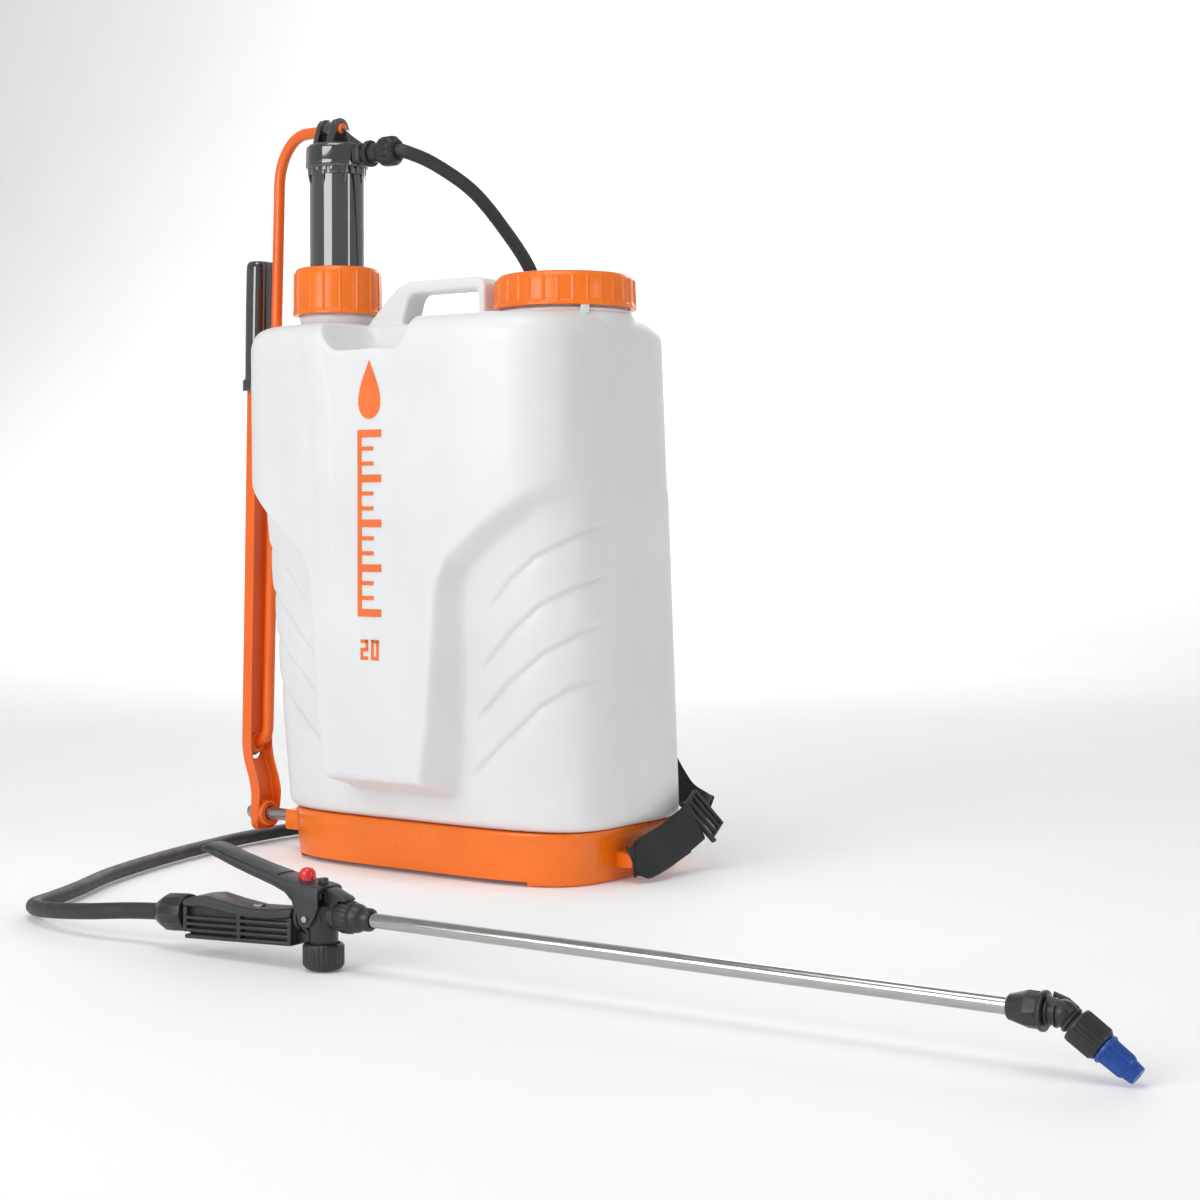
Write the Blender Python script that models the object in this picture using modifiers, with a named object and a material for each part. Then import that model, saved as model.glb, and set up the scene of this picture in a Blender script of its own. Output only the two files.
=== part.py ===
"""Backpack sprayer: a 20 litre tank with a lever-driven piston pump, hose, trigger gun and lance.

Frame: metres, +Z up, origin at the bottom centre of the base. +X is the filler-lid side, -X the
lever side, -Y the outer face of the tank and +Y the side that rests on the wearer's back.
"""
import math

import bmesh
import bpy
from mathutils import Matrix, Vector

GAP = 0.0003                      # clearance between neighbouring pieces

# Tank and base
BASE_HALF = (0.1640, 0.1065)      # half width and half depth at the base's top edge
BASE_TOP = 0.0445
CORNER_POWER = 4.4                # superellipse exponent of the plan outline
TANK_BOTTOM = BASE_TOP + GAP
SHOULDER_Z = 0.4735
SHOULDER_RADIUS = 0.018
WALL = 0.0032
FRONT_Y = -0.156                  # outer face of the raised front panel
UPPER_HALF_WIDTH = 0.1755
BACK_HOLLOW = 0.040               # depth of the curve in the wearer's side
VALLEY = (-0.050, 0.036, 0.4480)  # the step between the necks: two X ends and its floor height

# Necks, nut and lid
PUMP_X, PUMP_Y = -0.1275, -0.050
LID_X, LID_Y = 0.117, -0.038
PUMP_NECK = (0.0308, 0.0340, 0.5160)   # bore radius, outer radius, top
LID_NECK = (0.0495, 0.0535, 0.4955)
NUT_Z = (0.4875, 0.5298)
LID_Z = (0.4803, 0.5089)

# Pump
CHAMBER_RADIUS = 0.0250
CAP_Z = (0.6193, 0.6409)
CLEVIS_Z = 0.6550
BARREL_RADIUS = 0.0295
BARREL_BOTTOM = 0.085

# Lever drive
AXLE_Y, AXLE_Z = -0.058, 0.031
AXLE_RADIUS = 0.0057
LEVER_WEB_X = -0.2325             # outer face of the lever's web above its bend
LEVER_BEND = 0.0127               # how far the lower end steps in towards the tank
LEVER_WIDTH = 0.030
EYE_Z = 0.095                     # height of the link's lower end
EYE_Y = -0.051
EYE_TRAVEL = (0.0026, 0.0086)     # how far the link's hook moves across and along the lever's slot
LINK_RADIUS = 0.0052

# Hose, gun and lance
HOSE_RADIUS = 0.0060
GUN_ORIGIN = (0.2529, -0.4515, 0.0)
GUN_YAW = math.radians(3.6)
HANDLE_SLOPE = 0.0747
HANDLE_MID_Z = 0.0365             # height of the handle axis at x = -0.028
LANCE_Z = 0.0375
LANCE_SLOPE = -0.0070
VALVE_X = -0.0378                 # the upright valve, in the gun's frame
LANCE_RADIUS = 0.0050
ELBOW_ANGLE = math.radians(35)
ELBOW_X = 0.4790
LANCE_END = 0.4690
TRIGGER_PIVOT = (-0.0430, 0.0355)
GUN_FRAME = Matrix.Translation(GUN_ORIGIN) @ Matrix.Rotation(GUN_YAW, 4, 'Z')

PARTS = None
CUTTERS = None
MATERIALS = {}


# ---------------------------------------------------------------- helpers

def reset_scene():
    global PARTS, CUTTERS
    for item in list(bpy.data.objects):
        bpy.data.objects.remove(item, do_unlink=True)
    PARTS = bpy.data.collections.new("backpack_sprayer")
    CUTTERS = bpy.data.collections.new("cutters")
    for collection in (PARTS, CUTTERS):
        bpy.context.scene.collection.children.link(collection)


def material(name, colour, roughness, metallic=0.0):
    mat = bpy.data.materials.new(name)
    mat.use_nodes = True
    shader = mat.node_tree.nodes["Principled BSDF"]
    shader.inputs["Base Color"].default_value = (*colour, 1.0)
    shader.inputs["Roughness"].default_value = roughness
    shader.inputs["Metallic"].default_value = metallic
    MATERIALS[name] = mat


def make_materials():
    material("white_hdpe", (0.84, 0.85, 0.86), 0.45)
    material("orange_plastic", (0.93, 0.27, 0.03), 0.38)
    material("orange_steel", (0.90, 0.23, 0.02), 0.30, 0.2)
    material("gloss_black", (0.020, 0.024, 0.027), 0.18)
    material("matte_black", (0.030, 0.034, 0.037), 0.50)
    material("rubber", (0.035, 0.042, 0.046), 0.60)
    material("stainless", (0.62, 0.62, 0.62), 0.25, 1.0)
    material("zinc_steel", (0.30, 0.31, 0.32), 0.40, 1.0)
    material("clear_grey", (0.55, 0.57, 0.58), 0.30)
    material("red_plastic", (0.80, 0.02, 0.02), 0.30)
    material("blue_plastic", (0.01, 0.11, 0.52), 0.30)
    material("webbing", (0.022, 0.025, 0.028), 0.85)


def link_mesh(name, mesh, mat=None):
    obj = bpy.data.objects.new(name, mesh)
    if mat:
        PARTS.objects.link(obj)
        mesh.materials.clear()
        mesh.materials.append(MATERIALS[mat])
    else:
        CUTTERS.objects.link(obj)
        obj.hide_render = True
        obj.display_type = 'WIRE'
    return obj


def freeze(obj):
    """Replace the object's mesh by its evaluated one, in world space, welded and facing out."""
    bpy.context.view_layer.update()
    graph = bpy.context.evaluated_depsgraph_get()
    mesh = bpy.data.meshes.new_from_object(obj.evaluated_get(graph))
    mesh.transform(obj.matrix_world)
    work = bmesh.new()
    work.from_mesh(mesh)
    bmesh.ops.remove_doubles(work, verts=work.verts, dist=0.00001)
    bmesh.ops.recalc_face_normals(work, faces=work.faces)
    work.to_mesh(mesh)
    work.free()
    name = obj.name
    collections = list(obj.users_collection)
    is_cutter = obj.display_type == 'WIRE'
    old_materials = [slot.material for slot in obj.material_slots]
    bpy.data.objects.remove(obj, do_unlink=True)
    mesh.materials.clear()
    for item in old_materials:
        mesh.materials.append(item)
    new = bpy.data.objects.new(name, mesh)
    for collection in collections:
        collection.objects.link(new)
    if is_cutter:
        new.hide_render = True
        new.display_type = 'WIRE'
    return new


def smooth(obj, angle=40):
    obj.data.shade_smooth()
    obj.data.set_sharp_from_angle(angle=math.radians(angle))
    return obj


def bevelled(obj, width, segments=2, angle=40):
    modifier = obj.modifiers.new("edges", 'BEVEL')
    modifier.width = width
    modifier.segments = segments
    modifier.limit_method = 'ANGLE'
    modifier.angle_limit = math.radians(angle)
    return freeze(obj)


def box(name, size, centre, mat=None, matrix=None, bevel=0.0):
    work = bmesh.new()
    bmesh.ops.create_cube(work, size=1.0)
    bmesh.ops.scale(work, vec=size, verts=work.verts)
    bmesh.ops.translate(work, vec=centre, verts=work.verts)
    mesh = bpy.data.meshes.new(name)
    work.to_mesh(mesh)
    work.free()
    if matrix:
        mesh.transform(matrix)
    obj = link_mesh(name, mesh, mat)
    return bevelled(obj, bevel, 2) if bevel else obj


def turned(name, profile, mat=None, matrix=None, steps=24, closed=True):
    """Turn a profile of (radius, height) points about Z with a Screw modifier.

    A closed profile makes a ring; an open one starts and ends on the axis.
    """
    mesh = bpy.data.meshes.new(name)
    edges = [(i, i + 1) for i in range(len(profile) - 1)]
    if closed:
        edges.append((len(profile) - 1, 0))
    mesh.from_pydata([(r, 0.0, z) for r, z in profile], edges, [])
    obj = link_mesh(name, mesh, mat)
    screw = obj.modifiers.new("turn", 'SCREW')
    screw.steps = steps
    screw.render_steps = steps
    screw.use_merge_vertices = True
    screw.merge_threshold = 0.00001
    if matrix:
        obj.matrix_world = matrix
    obj = freeze(obj)
    return smooth(obj)


def ring(name, inner, outer, z0, z1, mat=None, matrix=None, steps=24):
    return turned(name, [(outer, z1), (outer, z0), (inner, z0), (inner, z1)], mat, matrix, steps)


def rod(name, radius, z0, z1, mat=None, matrix=None, steps=24):
    return turned(name, [(0, z1), (radius, z1), (radius, z0), (0, z0)], mat, matrix, steps, closed=False)


def tube_along(name, points, radius, mat=None, resolution=2, matrix=None):
    """A solid round rod along points, from a bevelled POLY curve with filled caps."""
    curve = bpy.data.curves.new(name, 'CURVE')
    curve.dimensions = '3D'
    curve.bevel_depth = radius
    curve.bevel_resolution = resolution
    curve.use_fill_caps = True
    spline = curve.splines.new('POLY')
    spline.points.add(len(points) - 1)
    for item, place in zip(spline.points, points):
        item.co = (*place, 1.0)
    obj = bpy.data.objects.new(name, curve)
    (PARTS if mat else CUTTERS).objects.link(obj)
    if mat:
        curve.materials.append(MATERIALS[mat])
    else:
        obj.hide_render = True
        obj.display_type = 'WIRE'
    if matrix:
        obj.matrix_world = matrix
    return smooth(freeze(obj))


def plate(name, outline, thickness, matrix, mat=None, bevel=0.0):
    """A flat outline in the local XY plane, thickened evenly to both sides."""
    curve = bpy.data.curves.new(name, 'CURVE')
    curve.dimensions = '2D'
    curve.fill_mode = 'BOTH'
    curve.extrude = thickness / 2
    spline = curve.splines.new('POLY')
    spline.points.add(len(outline) - 1)
    for item, (x, y) in zip(spline.points, outline):
        item.co = (x, y, 0.0, 1.0)
    spline.use_cyclic_u = True
    obj = bpy.data.objects.new(name, curve)
    (PARTS if mat else CUTTERS).objects.link(obj)
    if mat:
        curve.materials.append(MATERIALS[mat])
    else:
        obj.hide_render = True
        obj.display_type = 'WIRE'
    obj.matrix_world = matrix
    obj = freeze(obj)
    return bevelled(obj, bevel, 2, 50) if bevel else obj


def loft(name, rings, mat=None):
    """Join unlike closed sections, each a list of points, into one capped solid."""
    work = bmesh.new()
    rows = [[work.verts.new(point) for point in section] for section in rings]
    count = len(rows[0])
    for lower, upper in zip(rows, rows[1:]):
        for i in range(count):
            j = (i + 1) % count
            work.faces.new((lower[i], lower[j], upper[j], upper[i]))
    work.faces.new(rows[0])
    work.faces.new(rows[-1])
    bmesh.ops.recalc_face_normals(work, faces=work.faces)
    mesh = bpy.data.meshes.new(name)
    work.to_mesh(mesh)
    work.free()
    return smooth(link_mesh(name, mesh, mat))


def boolean(obj, others, operation):
    for other in others:
        modifier = obj.modifiers.new(operation.lower(), 'BOOLEAN')
        modifier.operation = operation
        modifier.solver = 'EXACT'
        modifier.object = other
        obj = freeze(obj)
        bpy.data.objects.remove(other, do_unlink=True)
    return smooth(obj)


def cut(obj, *others):
    return boolean(obj, others, 'DIFFERENCE')


def join(obj, *others):
    return boolean(obj, others, 'UNION')


def along_x(x, y, z):
    """Turn local +Z onto +X and move to a point."""
    return Matrix.Translation((x, y, z)) @ Matrix.Rotation(math.radians(90), 4, 'Y')


def at(x, y, z=0.0):
    return Matrix.Translation((x, y, z))


def on_side(x):
    """Local XY onto world YZ, at a given X."""
    return Matrix.Translation((x, 0, 0)) @ Matrix.Rotation(math.radians(90), 4, 'Z') \
        @ Matrix.Rotation(math.radians(90), 4, 'X')


def on_front(y):
    """Local XY onto world XZ, at a given Y."""
    return Matrix.Translation((0, y, 0)) @ Matrix.Rotation(math.radians(90), 4, 'X')


def arc(centre, radius, start, end, count):
    """Points of an arc, angles in degrees."""
    points = []
    for i in range(count):
        a = math.radians(start + (end - start) * i / (count - 1))
        points.append((centre[0] + radius * math.cos(a), centre[1] + radius * math.sin(a)))
    return points


def joint_empty(name, place, children, matrix=None):
    """Parent pieces to an empty that sits on their joint's axis."""
    empty = bpy.data.objects.new(name, None)
    PARTS.objects.link(empty)
    empty.matrix_world = matrix @ Matrix.Translation(place) if matrix else Matrix.Translation(place)
    bpy.context.view_layer.update()
    for child in children:
        child.parent = empty
        child.matrix_parent_inverse = empty.matrix_world.inverted()
    return empty


# ---------------------------------------------------------------- tank and base

def between(z, low, high):
    """Linear value between two (height, value) stations, held flat outside them."""
    t = (z - low[0]) / (high[0] - low[0])
    return low[1] + (high[1] - low[1]) * min(1.0, max(0.0, t))


def ease(t):
    t = min(1.0, max(0.0, t))
    return t * t * (3 - 2 * t)


def outline_point(angle, half_width, front, back):
    c, s = math.cos(angle), math.sin(angle)
    power = 2 / CORNER_POWER
    x = half_width * math.copysign(abs(c) ** power, c)
    y = (front + back) / 2 + (back - front) / 2 * math.copysign(abs(s) ** power, s)
    return Vector((x, y))


def step_height(x):
    """Height at which the lower front corners step in, rising from the panel to the side."""
    return between(x, (0.070, 0.250), (0.187, 0.338))


def recess_amount(x, z):
    """1 on the stepped-in lower corners, 0 on the raised panel and above the step."""
    panel_half = between(z, (0.081, 0.050), (0.250, 0.070))
    corner = ease((step_height(abs(x)) - z) / 0.022 + 0.5) * ease((abs(x) - panel_half) / 0.018 + 0.5)
    return max(corner, ease((0.082 - z) / 0.020 + 0.5))


def back_hollow(x, z):
    """How far the back face curves in at its middle, to fit the wearer's back."""
    width = ease((0.125 - abs(x)) / 0.085)
    height = ease((z - 0.055) / 0.080) * ease((0.475 - z) / 0.110)
    return BACK_HOLLOW * width * height


def tank_section(z, inset=0.0, count=44):
    back = between(z, (TANK_BOTTOM, 0.104), (0.45, 0.069)) - inset
    low_front = between(z, (TANK_BOTTOM, -0.1065), (0.34, -0.137)) + inset
    low_half = between(z, (TANK_BOTTOM, 0.1705), (0.34, 0.1750)) - inset
    points = []
    for i in range(count):
        angle = 2 * math.pi * i / count
        raised = outline_point(angle, UPPER_HALF_WIDTH - inset, FRONT_Y + inset, back)
        stepped = outline_point(angle, low_half, low_front, back)
        amount = recess_amount(raised.x, z)
        x, y = raised.lerp(stepped, amount)
        if y > 0:
            y -= back_hollow(x, z) * ease(y / 0.060)
        points.append((x, y, z))
    return points


def tank_levels(bottom, top, radius):
    """Heights of the sections and how far each is drawn in by the rounded edges."""
    levels = [(bottom, radius * 0.35), (bottom + radius * 0.2, radius * 0.08)]
    middle = (0.064, 0.076, 0.090, 0.140, 0.190, 0.225, 0.250, 0.275, 0.300, 0.325, 0.350, 0.410)
    levels += [(z, 0.0) for z in middle]
    for step in range(4):
        a = math.radians(90 * step / 3)
        levels.append((top - radius + radius * math.sin(a), radius * (1 - math.cos(a))))
    return levels


def tank_solid(name, inset, bottom, top, mat=None):
    sections = [tank_section(z, inset + drawn) for z, drawn in tank_levels(bottom, top, SHOULDER_RADIUS)]
    return loft(name, sections, mat)


def valley_wedge(name, spread):
    x0, x1, floor = VALLEY
    x0 -= spread
    x1 += spread
    floor -= spread
    outline = [(-0.175, floor), (-0.096 + spread, floor), (-0.078 + spread, 0.482), (-0.078 + spread, 0.500),
               (-0.175, 0.500)]
    return plate(name, outline, x1 - x0, on_side((x0 + x1) / 2))


def handle_blank():
    outline = [(-0.082, 0.470), (-0.0790, 0.4795), (-0.047, 0.5065), (-0.036, 0.5125), (0.043, 0.5125),
               (0.0505, 0.5060), (0.0505, 0.470)]
    blank = plate("handle_blank", outline, 0.026, on_front(-0.050), bevel=0.003)
    gap = [(-0.0425, 0.4660), (0.0430, 0.4660), (0.0430, 0.5005), (-0.0325, 0.5005)]
    hole = plate("handle_hole", gap, 0.050, on_front(-0.050), bevel=0.004)
    return cut(blank, hole)


def make_tank():
    tank = tank_solid("tank", 0.0, TANK_BOTTOM, SHOULDER_Z, "white_hdpe")
    tank = cut(tank, valley_wedge("valley", 0.0))
    pump_neck = rod("pump_neck", PUMP_NECK[1], 0.465, PUMP_NECK[2], None, at(PUMP_X, PUMP_Y), 32)
    pump_ring = rod("pump_ring", 0.0375, 0.466, 0.4785, None, at(PUMP_X, PUMP_Y), 32)
    lid_neck = rod("lid_neck", LID_NECK[1], 0.465, LID_NECK[2], None, at(LID_X, LID_Y), 40)
    lid_ring = rod("lid_ring", 0.0565, 0.466, 0.4765, None, at(LID_X, LID_Y), 40)
    tank = join(tank, handle_blank(), pump_neck, pump_ring, lid_neck, lid_ring)
    hollow = tank_solid("hollow", WALL, TANK_BOTTOM + WALL, SHOULDER_Z - WALL)
    hollow = cut(hollow, valley_wedge("valley_inside", WALL))
    bosses = [box("anchor_boss", (0.0532, 0.030, 0.0270), (side * 0.0543, 0.0562, 0.4435)) for side in (-1, 1)]
    tank = join(tank, *bosses)
    tank = join(tank, box("clip_boss", (0.030, 0.034, 0.016), (0.010, 0.0555, 0.4180)))
    pump_bore = rod("pump_bore", PUMP_NECK[0], 0.440, 0.530, None, at(PUMP_X, PUMP_Y), 32)
    lid_bore = rod("lid_bore", LID_NECK[0], 0.440, 0.515, None, at(LID_X, LID_Y), 40)
    return cut(tank, join(hollow, pump_bore, lid_bore))


def base_section(z, half_x, half_y, count=44):
    points = [outline_point(2 * math.pi * i / count, half_x, -half_y, half_y) for i in range(count)]
    return [(p.x, p.y, z) for p in points]


def make_base():
    half_x, half_y = BASE_HALF
    draft = 0.0028
    skirt = 0.0035
    roof = 0.0035
    base = loft("base", [base_section(0.0, half_x - draft - 0.0015, half_y - draft - 0.0015),
                         base_section(0.0015, half_x - draft, half_y - draft),
                         base_section(BASE_TOP - 0.0025, half_x, half_y),
                         base_section(BASE_TOP, half_x - 0.0015, half_y - 0.0015)], "orange_plastic")
    inside = loft("base_inside", [base_section(-0.01, half_x - draft - skirt, half_y - draft - skirt),
                                  base_section(BASE_TOP - roof, half_x - skirt, half_y - skirt)])
    arch = box("base_arch", (0.262, 0.30, 0.007), (-0.010, 0, 0.0))
    base = cut(base, inside, arch)
    lug = box("axle_lug", (0.018, 0.026, 0.0180), (-0.1670, AXLE_Y, 0.0290), bevel=0.002)
    ribs = [box("axle_rib", (0.004, 0.200, 0.0375), (x, 0.0, 0.0245)) for x in (-0.060, 0.060)]
    tabs = [box("strap_tab", (0.020, 0.020, 0.015), (side * 0.1690, -0.016, 0.0180), bevel=0.0015)
            for side in (-1, 1)]
    base = join(base, lug, *ribs, *tabs)
    bore = rod("axle_bore", AXLE_RADIUS + GAP, -0.20, 0.085, None, along_x(0, AXLE_Y, AXLE_Z), 20)
    return cut(base, bore)


def make_axle():
    axle = rod("base_axle", AXLE_RADIUS, -0.2300, 0.080, "zinc_steel", along_x(0, AXLE_Y, AXLE_Z), 20)
    washer = ring("axle_washer", AXLE_RADIUS + GAP, 0.0100, 0.0, 0.0015, "zinc_steel",
                  along_x(-0.2228, AXLE_Y, AXLE_Z), 20)
    return axle, washer


# ---------------------------------------------------------------- filler

def make_filler():
    place = at(LID_X, LID_Y)
    z0, z1 = LID_Z
    lid = turned("filler_lid", [(0, z1), (0.0560, z1), (0.0588, z1 - 0.0030), (0.0592, z0 + 0.0030),
                                (0.0605, z0 + 0.0024), (0.0605, z0), (0.0545, z0), (0.0545, z1 - 0.0030),
                                (0, z1 - 0.0030)], "orange_plastic", place, 48, closed=False)
    gasket = ring("lid_gasket", 0.0470, 0.0535, z1 - 0.0104, z1 - 0.0038, "rubber", place, 32)
    rim, floor = LID_NECK[2] + GAP, LID_NECK[2] - 0.1020
    basket = turned("filler_strainer", [(0, floor + 0.0022), (0.0410, floor + 0.0022), (0.0462, rim + 0.0022),
                                        (0.0530, rim + 0.0022), (0.0530, rim), (0.0485, rim), (0.0430, floor),
                                        (0, floor)], "matte_black", place, 32, closed=False)
    slots = []
    for row in (floor + 0.030, floor + 0.068):
        for turn in range(3):
            matrix = place @ Matrix.Rotation(math.radians(60 * turn + 30), 4, 'Z')
            slots.append(box("strainer_slot", (0.12, 0.020, 0.024), (0, 0, row), matrix=matrix))
    basket = cut(basket, *slots)
    joint_empty("lid_axis", (LID_X, LID_Y, z0), [lid, gasket])
    return lid, gasket, basket


# ---------------------------------------------------------------- pump

def make_pump_nut():
    z0, z1 = NUT_Z
    place = at(PUMP_X, PUMP_Y)
    nut = turned("pump_nut", [(0.0360, z1), (0.0385, z1 - 0.0028), (0.0388, z0 + 0.0034), (0.0402, z0 + 0.0026),
                              (0.0402, z0), (0.0352, z0), (0.0352, z1 - 0.0060), (0.0262, z1 - 0.0060),
                              (0.0262, z1)],
                 "orange_plastic", place, 40)
    gasket = ring("pump_gasket", 0.0300, 0.0340, PUMP_NECK[2] + GAP, PUMP_NECK[2] + 0.0023, "rubber", place, 32)
    joint_empty("nut_axis", (PUMP_X, PUMP_Y, z0), [nut])
    return nut, gasket


def make_barrel():
    place = at(PUMP_X, PUMP_Y)
    bore = BARREL_RADIUS - 0.0020
    floor = BARREL_BOTTOM + 0.0040
    flange = PUMP_NECK[2] + 0.0026
    barrel = turned("pump_barrel", [(0.0340, flange + 0.0030), (0.0340, flange), (BARREL_RADIUS, flange),
                                    (BARREL_RADIUS, BARREL_BOTTOM), (0.0100, BARREL_BOTTOM), (0.0100, floor),
                                    (bore, floor), (bore, flange + 0.0030)], "clear_grey", place, 32)
    valve = turned("foot_valve", [(0.0200, BARREL_BOTTOM - GAP), (0.0200, 0.0640), (0.0045, 0.0640),
                                  (0.0045, 0.0680), (0.0080, 0.0715), (0.0080, BARREL_BOTTOM - GAP)],
                   "matte_black", place, 24)
    slots = [box("foot_slot", (0.050, 0.006, 0.010), (PUMP_X, PUMP_Y, 0.0800)),
             box("foot_slot", (0.006, 0.050, 0.010), (PUMP_X, PUMP_Y, 0.0800))]
    valve = cut(valve, *slots)
    ball = bpy.data.meshes.new("valve_ball")
    work = bmesh.new()
    bmesh.ops.create_uvsphere(work, u_segments=16, v_segments=10, radius=0.0062)
    bmesh.ops.translate(work, vec=(PUMP_X, PUMP_Y, 0.0765), verts=work.verts)
    work.to_mesh(ball)
    work.free()
    ball_object = smooth(link_mesh("valve_ball", ball, "stainless"))
    return barrel, valve, ball_object


def make_chamber():
    place = at(PUMP_X, PUMP_Y)
    bore = CHAMBER_RADIUS - 0.0025
    tube = ring("chamber_tube", bore, CHAMBER_RADIUS, 0.2000, 0.6362, "gloss_black", place, 32)
    cup = turned("piston_cup", [(bore - GAP, 0.2120), (bore - GAP, 0.1997), (0.0272, 0.1997), (0.0272, 0.1900),
                                (0.0060, 0.1900), (0.0060, 0.2120)], "rubber", place, 32)
    dip = ring("dip_tube", 0.0028, 0.0040, 0.2200, 0.6360, "clear_grey", place, 12)
    return tube, cup, dip


def make_chamber_cap():
    place = at(PUMP_X, PUMP_Y)
    z0, z1 = CAP_Z
    cap = turned("chamber_cap", [(0, z1), (0.0250, z1), (0.0282, z1 - 0.0025), (0.0286, z0 + 0.0020),
                                 (0.0278, z0), (CHAMBER_RADIUS + GAP, z0), (CHAMBER_RADIUS + GAP, 0.6365),
                                 (0, 0.6365)], "gloss_black", place, 36, closed=False)
    ear = [(-0.0150, 0.6380)] + [(y, z) for y, z in arc((0, CLEVIS_Z), 0.0100, 170, 10, 9)] + [(0.0150, 0.6380)]
    ear = [(PUMP_Y + y, z) for y, z in ear]
    ears = [plate("clevis_ear", ear, 0.0060, on_side(x)) for x in (-0.1410, -0.1250)]
    stub = rod("outlet_stub", 0.0080, 0.0160, 0.0505, None, along_x(PUMP_X, PUMP_Y, 0.6300), 20)
    boss = box("outlet_boss", (0.0180, 0.0200, 0.0190), (PUMP_X + 0.0250, PUMP_Y, 0.6305), bevel=0.003)
    keep = rod("cap_hollow", CHAMBER_RADIUS + GAP, 0.60, 0.6365, None, place, 36)
    hole = rod("clevis_bore", LINK_RADIUS + GAP, -0.16, -0.115, None, along_x(0, PUMP_Y, CLEVIS_Z), 20)
    cap = cut(join(cap, *ears, boss, stub), keep, hole)
    nut = turned("outlet_nut", [(0.0095, 0.0715), (0.0130, 0.0675), (0.0130, 0.0570), (0.0110, 0.0525),
                                (0.0083, 0.0525), (0.0083, 0.0580), (HOSE_RADIUS + 2 * GAP, 0.0580),
                                (HOSE_RADIUS + 2 * GAP, 0.0715)], "matte_black",
                 along_x(PUMP_X, PUMP_Y, 0.6300), 12)
    return cap, nut


# ---------------------------------------------------------------- lever drive

def lever_offset(z):
    """X of the web's outer face and Y of the channel's middle at a height."""
    x = between(z, (0.0544, LEVER_WEB_X + LEVER_BEND), (0.0864, LEVER_WEB_X))
    y = between(z, (0.031, AXLE_Y + 0.003), (0.544, -0.0415))
    return x, y


def channel_section(z, sheet=0.0022, flange=0.0120):
    x, y = lever_offset(z)
    half = LEVER_WIDTH / 2
    flange = between(z, (0.034, 0.0040), (0.060, flange))
    return [(x, y - half, z), (x + flange, y - half, z), (x + flange, y - half + sheet, z),
            (x + sheet, y - half + sheet, z), (x + sheet, y + half - sheet, z),
            (x + flange, y + half - sheet, z), (x + flange, y + half, z), (x, y + half, z)]


def make_lever():
    heights = [0.0270, 0.0400, 0.0544, 0.0600, 0.0700, 0.0800, 0.0864, 0.2500, 0.4370, 0.5360]
    lever = loft("pump_lever", [channel_section(z) for z in heights], "orange_steel")
    x, y = lever_offset(AXLE_Z)
    foot = rod("lever_foot", 0.0160, 0.0, 0.0022, None, along_x(x, AXLE_Y, AXLE_Z), 28)
    boss = rod("lever_boss", 0.0115, 0.0, 0.0140, None, along_x(x, AXLE_Y, AXLE_Z), 24)
    lever = join(lever, foot, boss)
    bore = rod("axle_bore", AXLE_RADIUS + GAP, -0.30, -0.18, None, along_x(0, AXLE_Y, AXLE_Z), 24)
    slot_y = EYE_Y - EYE_TRAVEL[0] / 2
    slot_radius = LINK_RADIUS + EYE_TRAVEL[0] / 2 + 2 * GAP
    slot_outline = (arc((slot_y, EYE_Z), slot_radius, 0, 180, 9)
                    + arc((slot_y, EYE_Z - EYE_TRAVEL[1]), slot_radius, 180, 360, 9))
    slot = plate("eye_slot", slot_outline, 0.012, on_side(LEVER_WEB_X))
    lever = cut(lever, bore, slot)
    grip = make_grip()
    joint_empty("lever_axis", (0, AXLE_Y, AXLE_Z), [lever, grip])
    return lever, grip


def grip_section(z, half_x, half_y, count=20):
    x, y = lever_offset(z)
    middle = x + 0.0060
    points = [(math.cos(2 * math.pi * i / count), math.sin(2 * math.pi * i / count)) for i in range(count)]
    return [(middle + half_x * math.copysign(abs(c) ** 0.7, c), y + half_y * math.copysign(abs(s) ** 0.7, s), z)
            for c, s in points]


def make_grip():
    """Hand grip sleeve, pushed over the lever's upper end, with a flared lower collar."""
    sizes = [(0.4230, 0.0112, 0.0205), (0.4330, 0.0112, 0.0205), (0.4380, 0.0100, 0.0185),
             (0.5390, 0.0100, 0.0185), (0.5435, 0.0078, 0.0160)]
    grip = loft("lever_grip", [grip_section(*size) for size in sizes], "gloss_black")
    heights = [0.4100, 0.4230, 0.4370, 0.5363]
    socket = []
    for z in heights:
        x, y = lever_offset(z)
        half = LEVER_WIDTH / 2 + GAP
        socket.append([(x - GAP, y - half, z), (x + 0.0123, y - half, z), (x + 0.0123, y + half, z),
                       (x - GAP, y + half, z)])
    return cut(grip, loft("grip_socket", socket))


def link_points():
    """Rod from the clevis, down past the tank, to the hook in the lever."""
    tip_x, shoulder_x, top_x, low_x, hook_x = -0.1195, -0.1640, -0.1985, -0.2145, -0.2385
    top_bend, low_bend = 0.0460, 0.0160
    points = [(tip_x, PUMP_Y, CLEVIS_Z)]
    for i in range(8):
        a = math.radians(90 * i / 7)
        x = shoulder_x + (top_x - shoulder_x) * math.sin(a)
        points.append((x, PUMP_Y, CLEVIS_Z - top_bend * (1 - math.cos(a))))
    for i in range(6):
        a = math.radians(90 * i / 5)
        x = low_x - low_bend * (1 - math.cos(a))
        points.append((x, EYE_Y, EYE_Z + low_bend * (1 - math.sin(a))))
    points.append((hook_x, EYE_Y, EYE_Z))
    return points


def make_link():
    link = tube_along("link_rod", link_points(), LINK_RADIUS, "orange_steel", 3)
    washer = ring("link_washer", LINK_RADIUS + GAP, 0.0125, 0.0, 0.0016, "zinc_steel",
                  along_x(-0.2346, EYE_Y, EYE_Z), 24)
    joint_empty("link_axis", (0, PUMP_Y, CLEVIS_Z), [link, washer])
    return link, washer


# ---------------------------------------------------------------- hose

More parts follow.
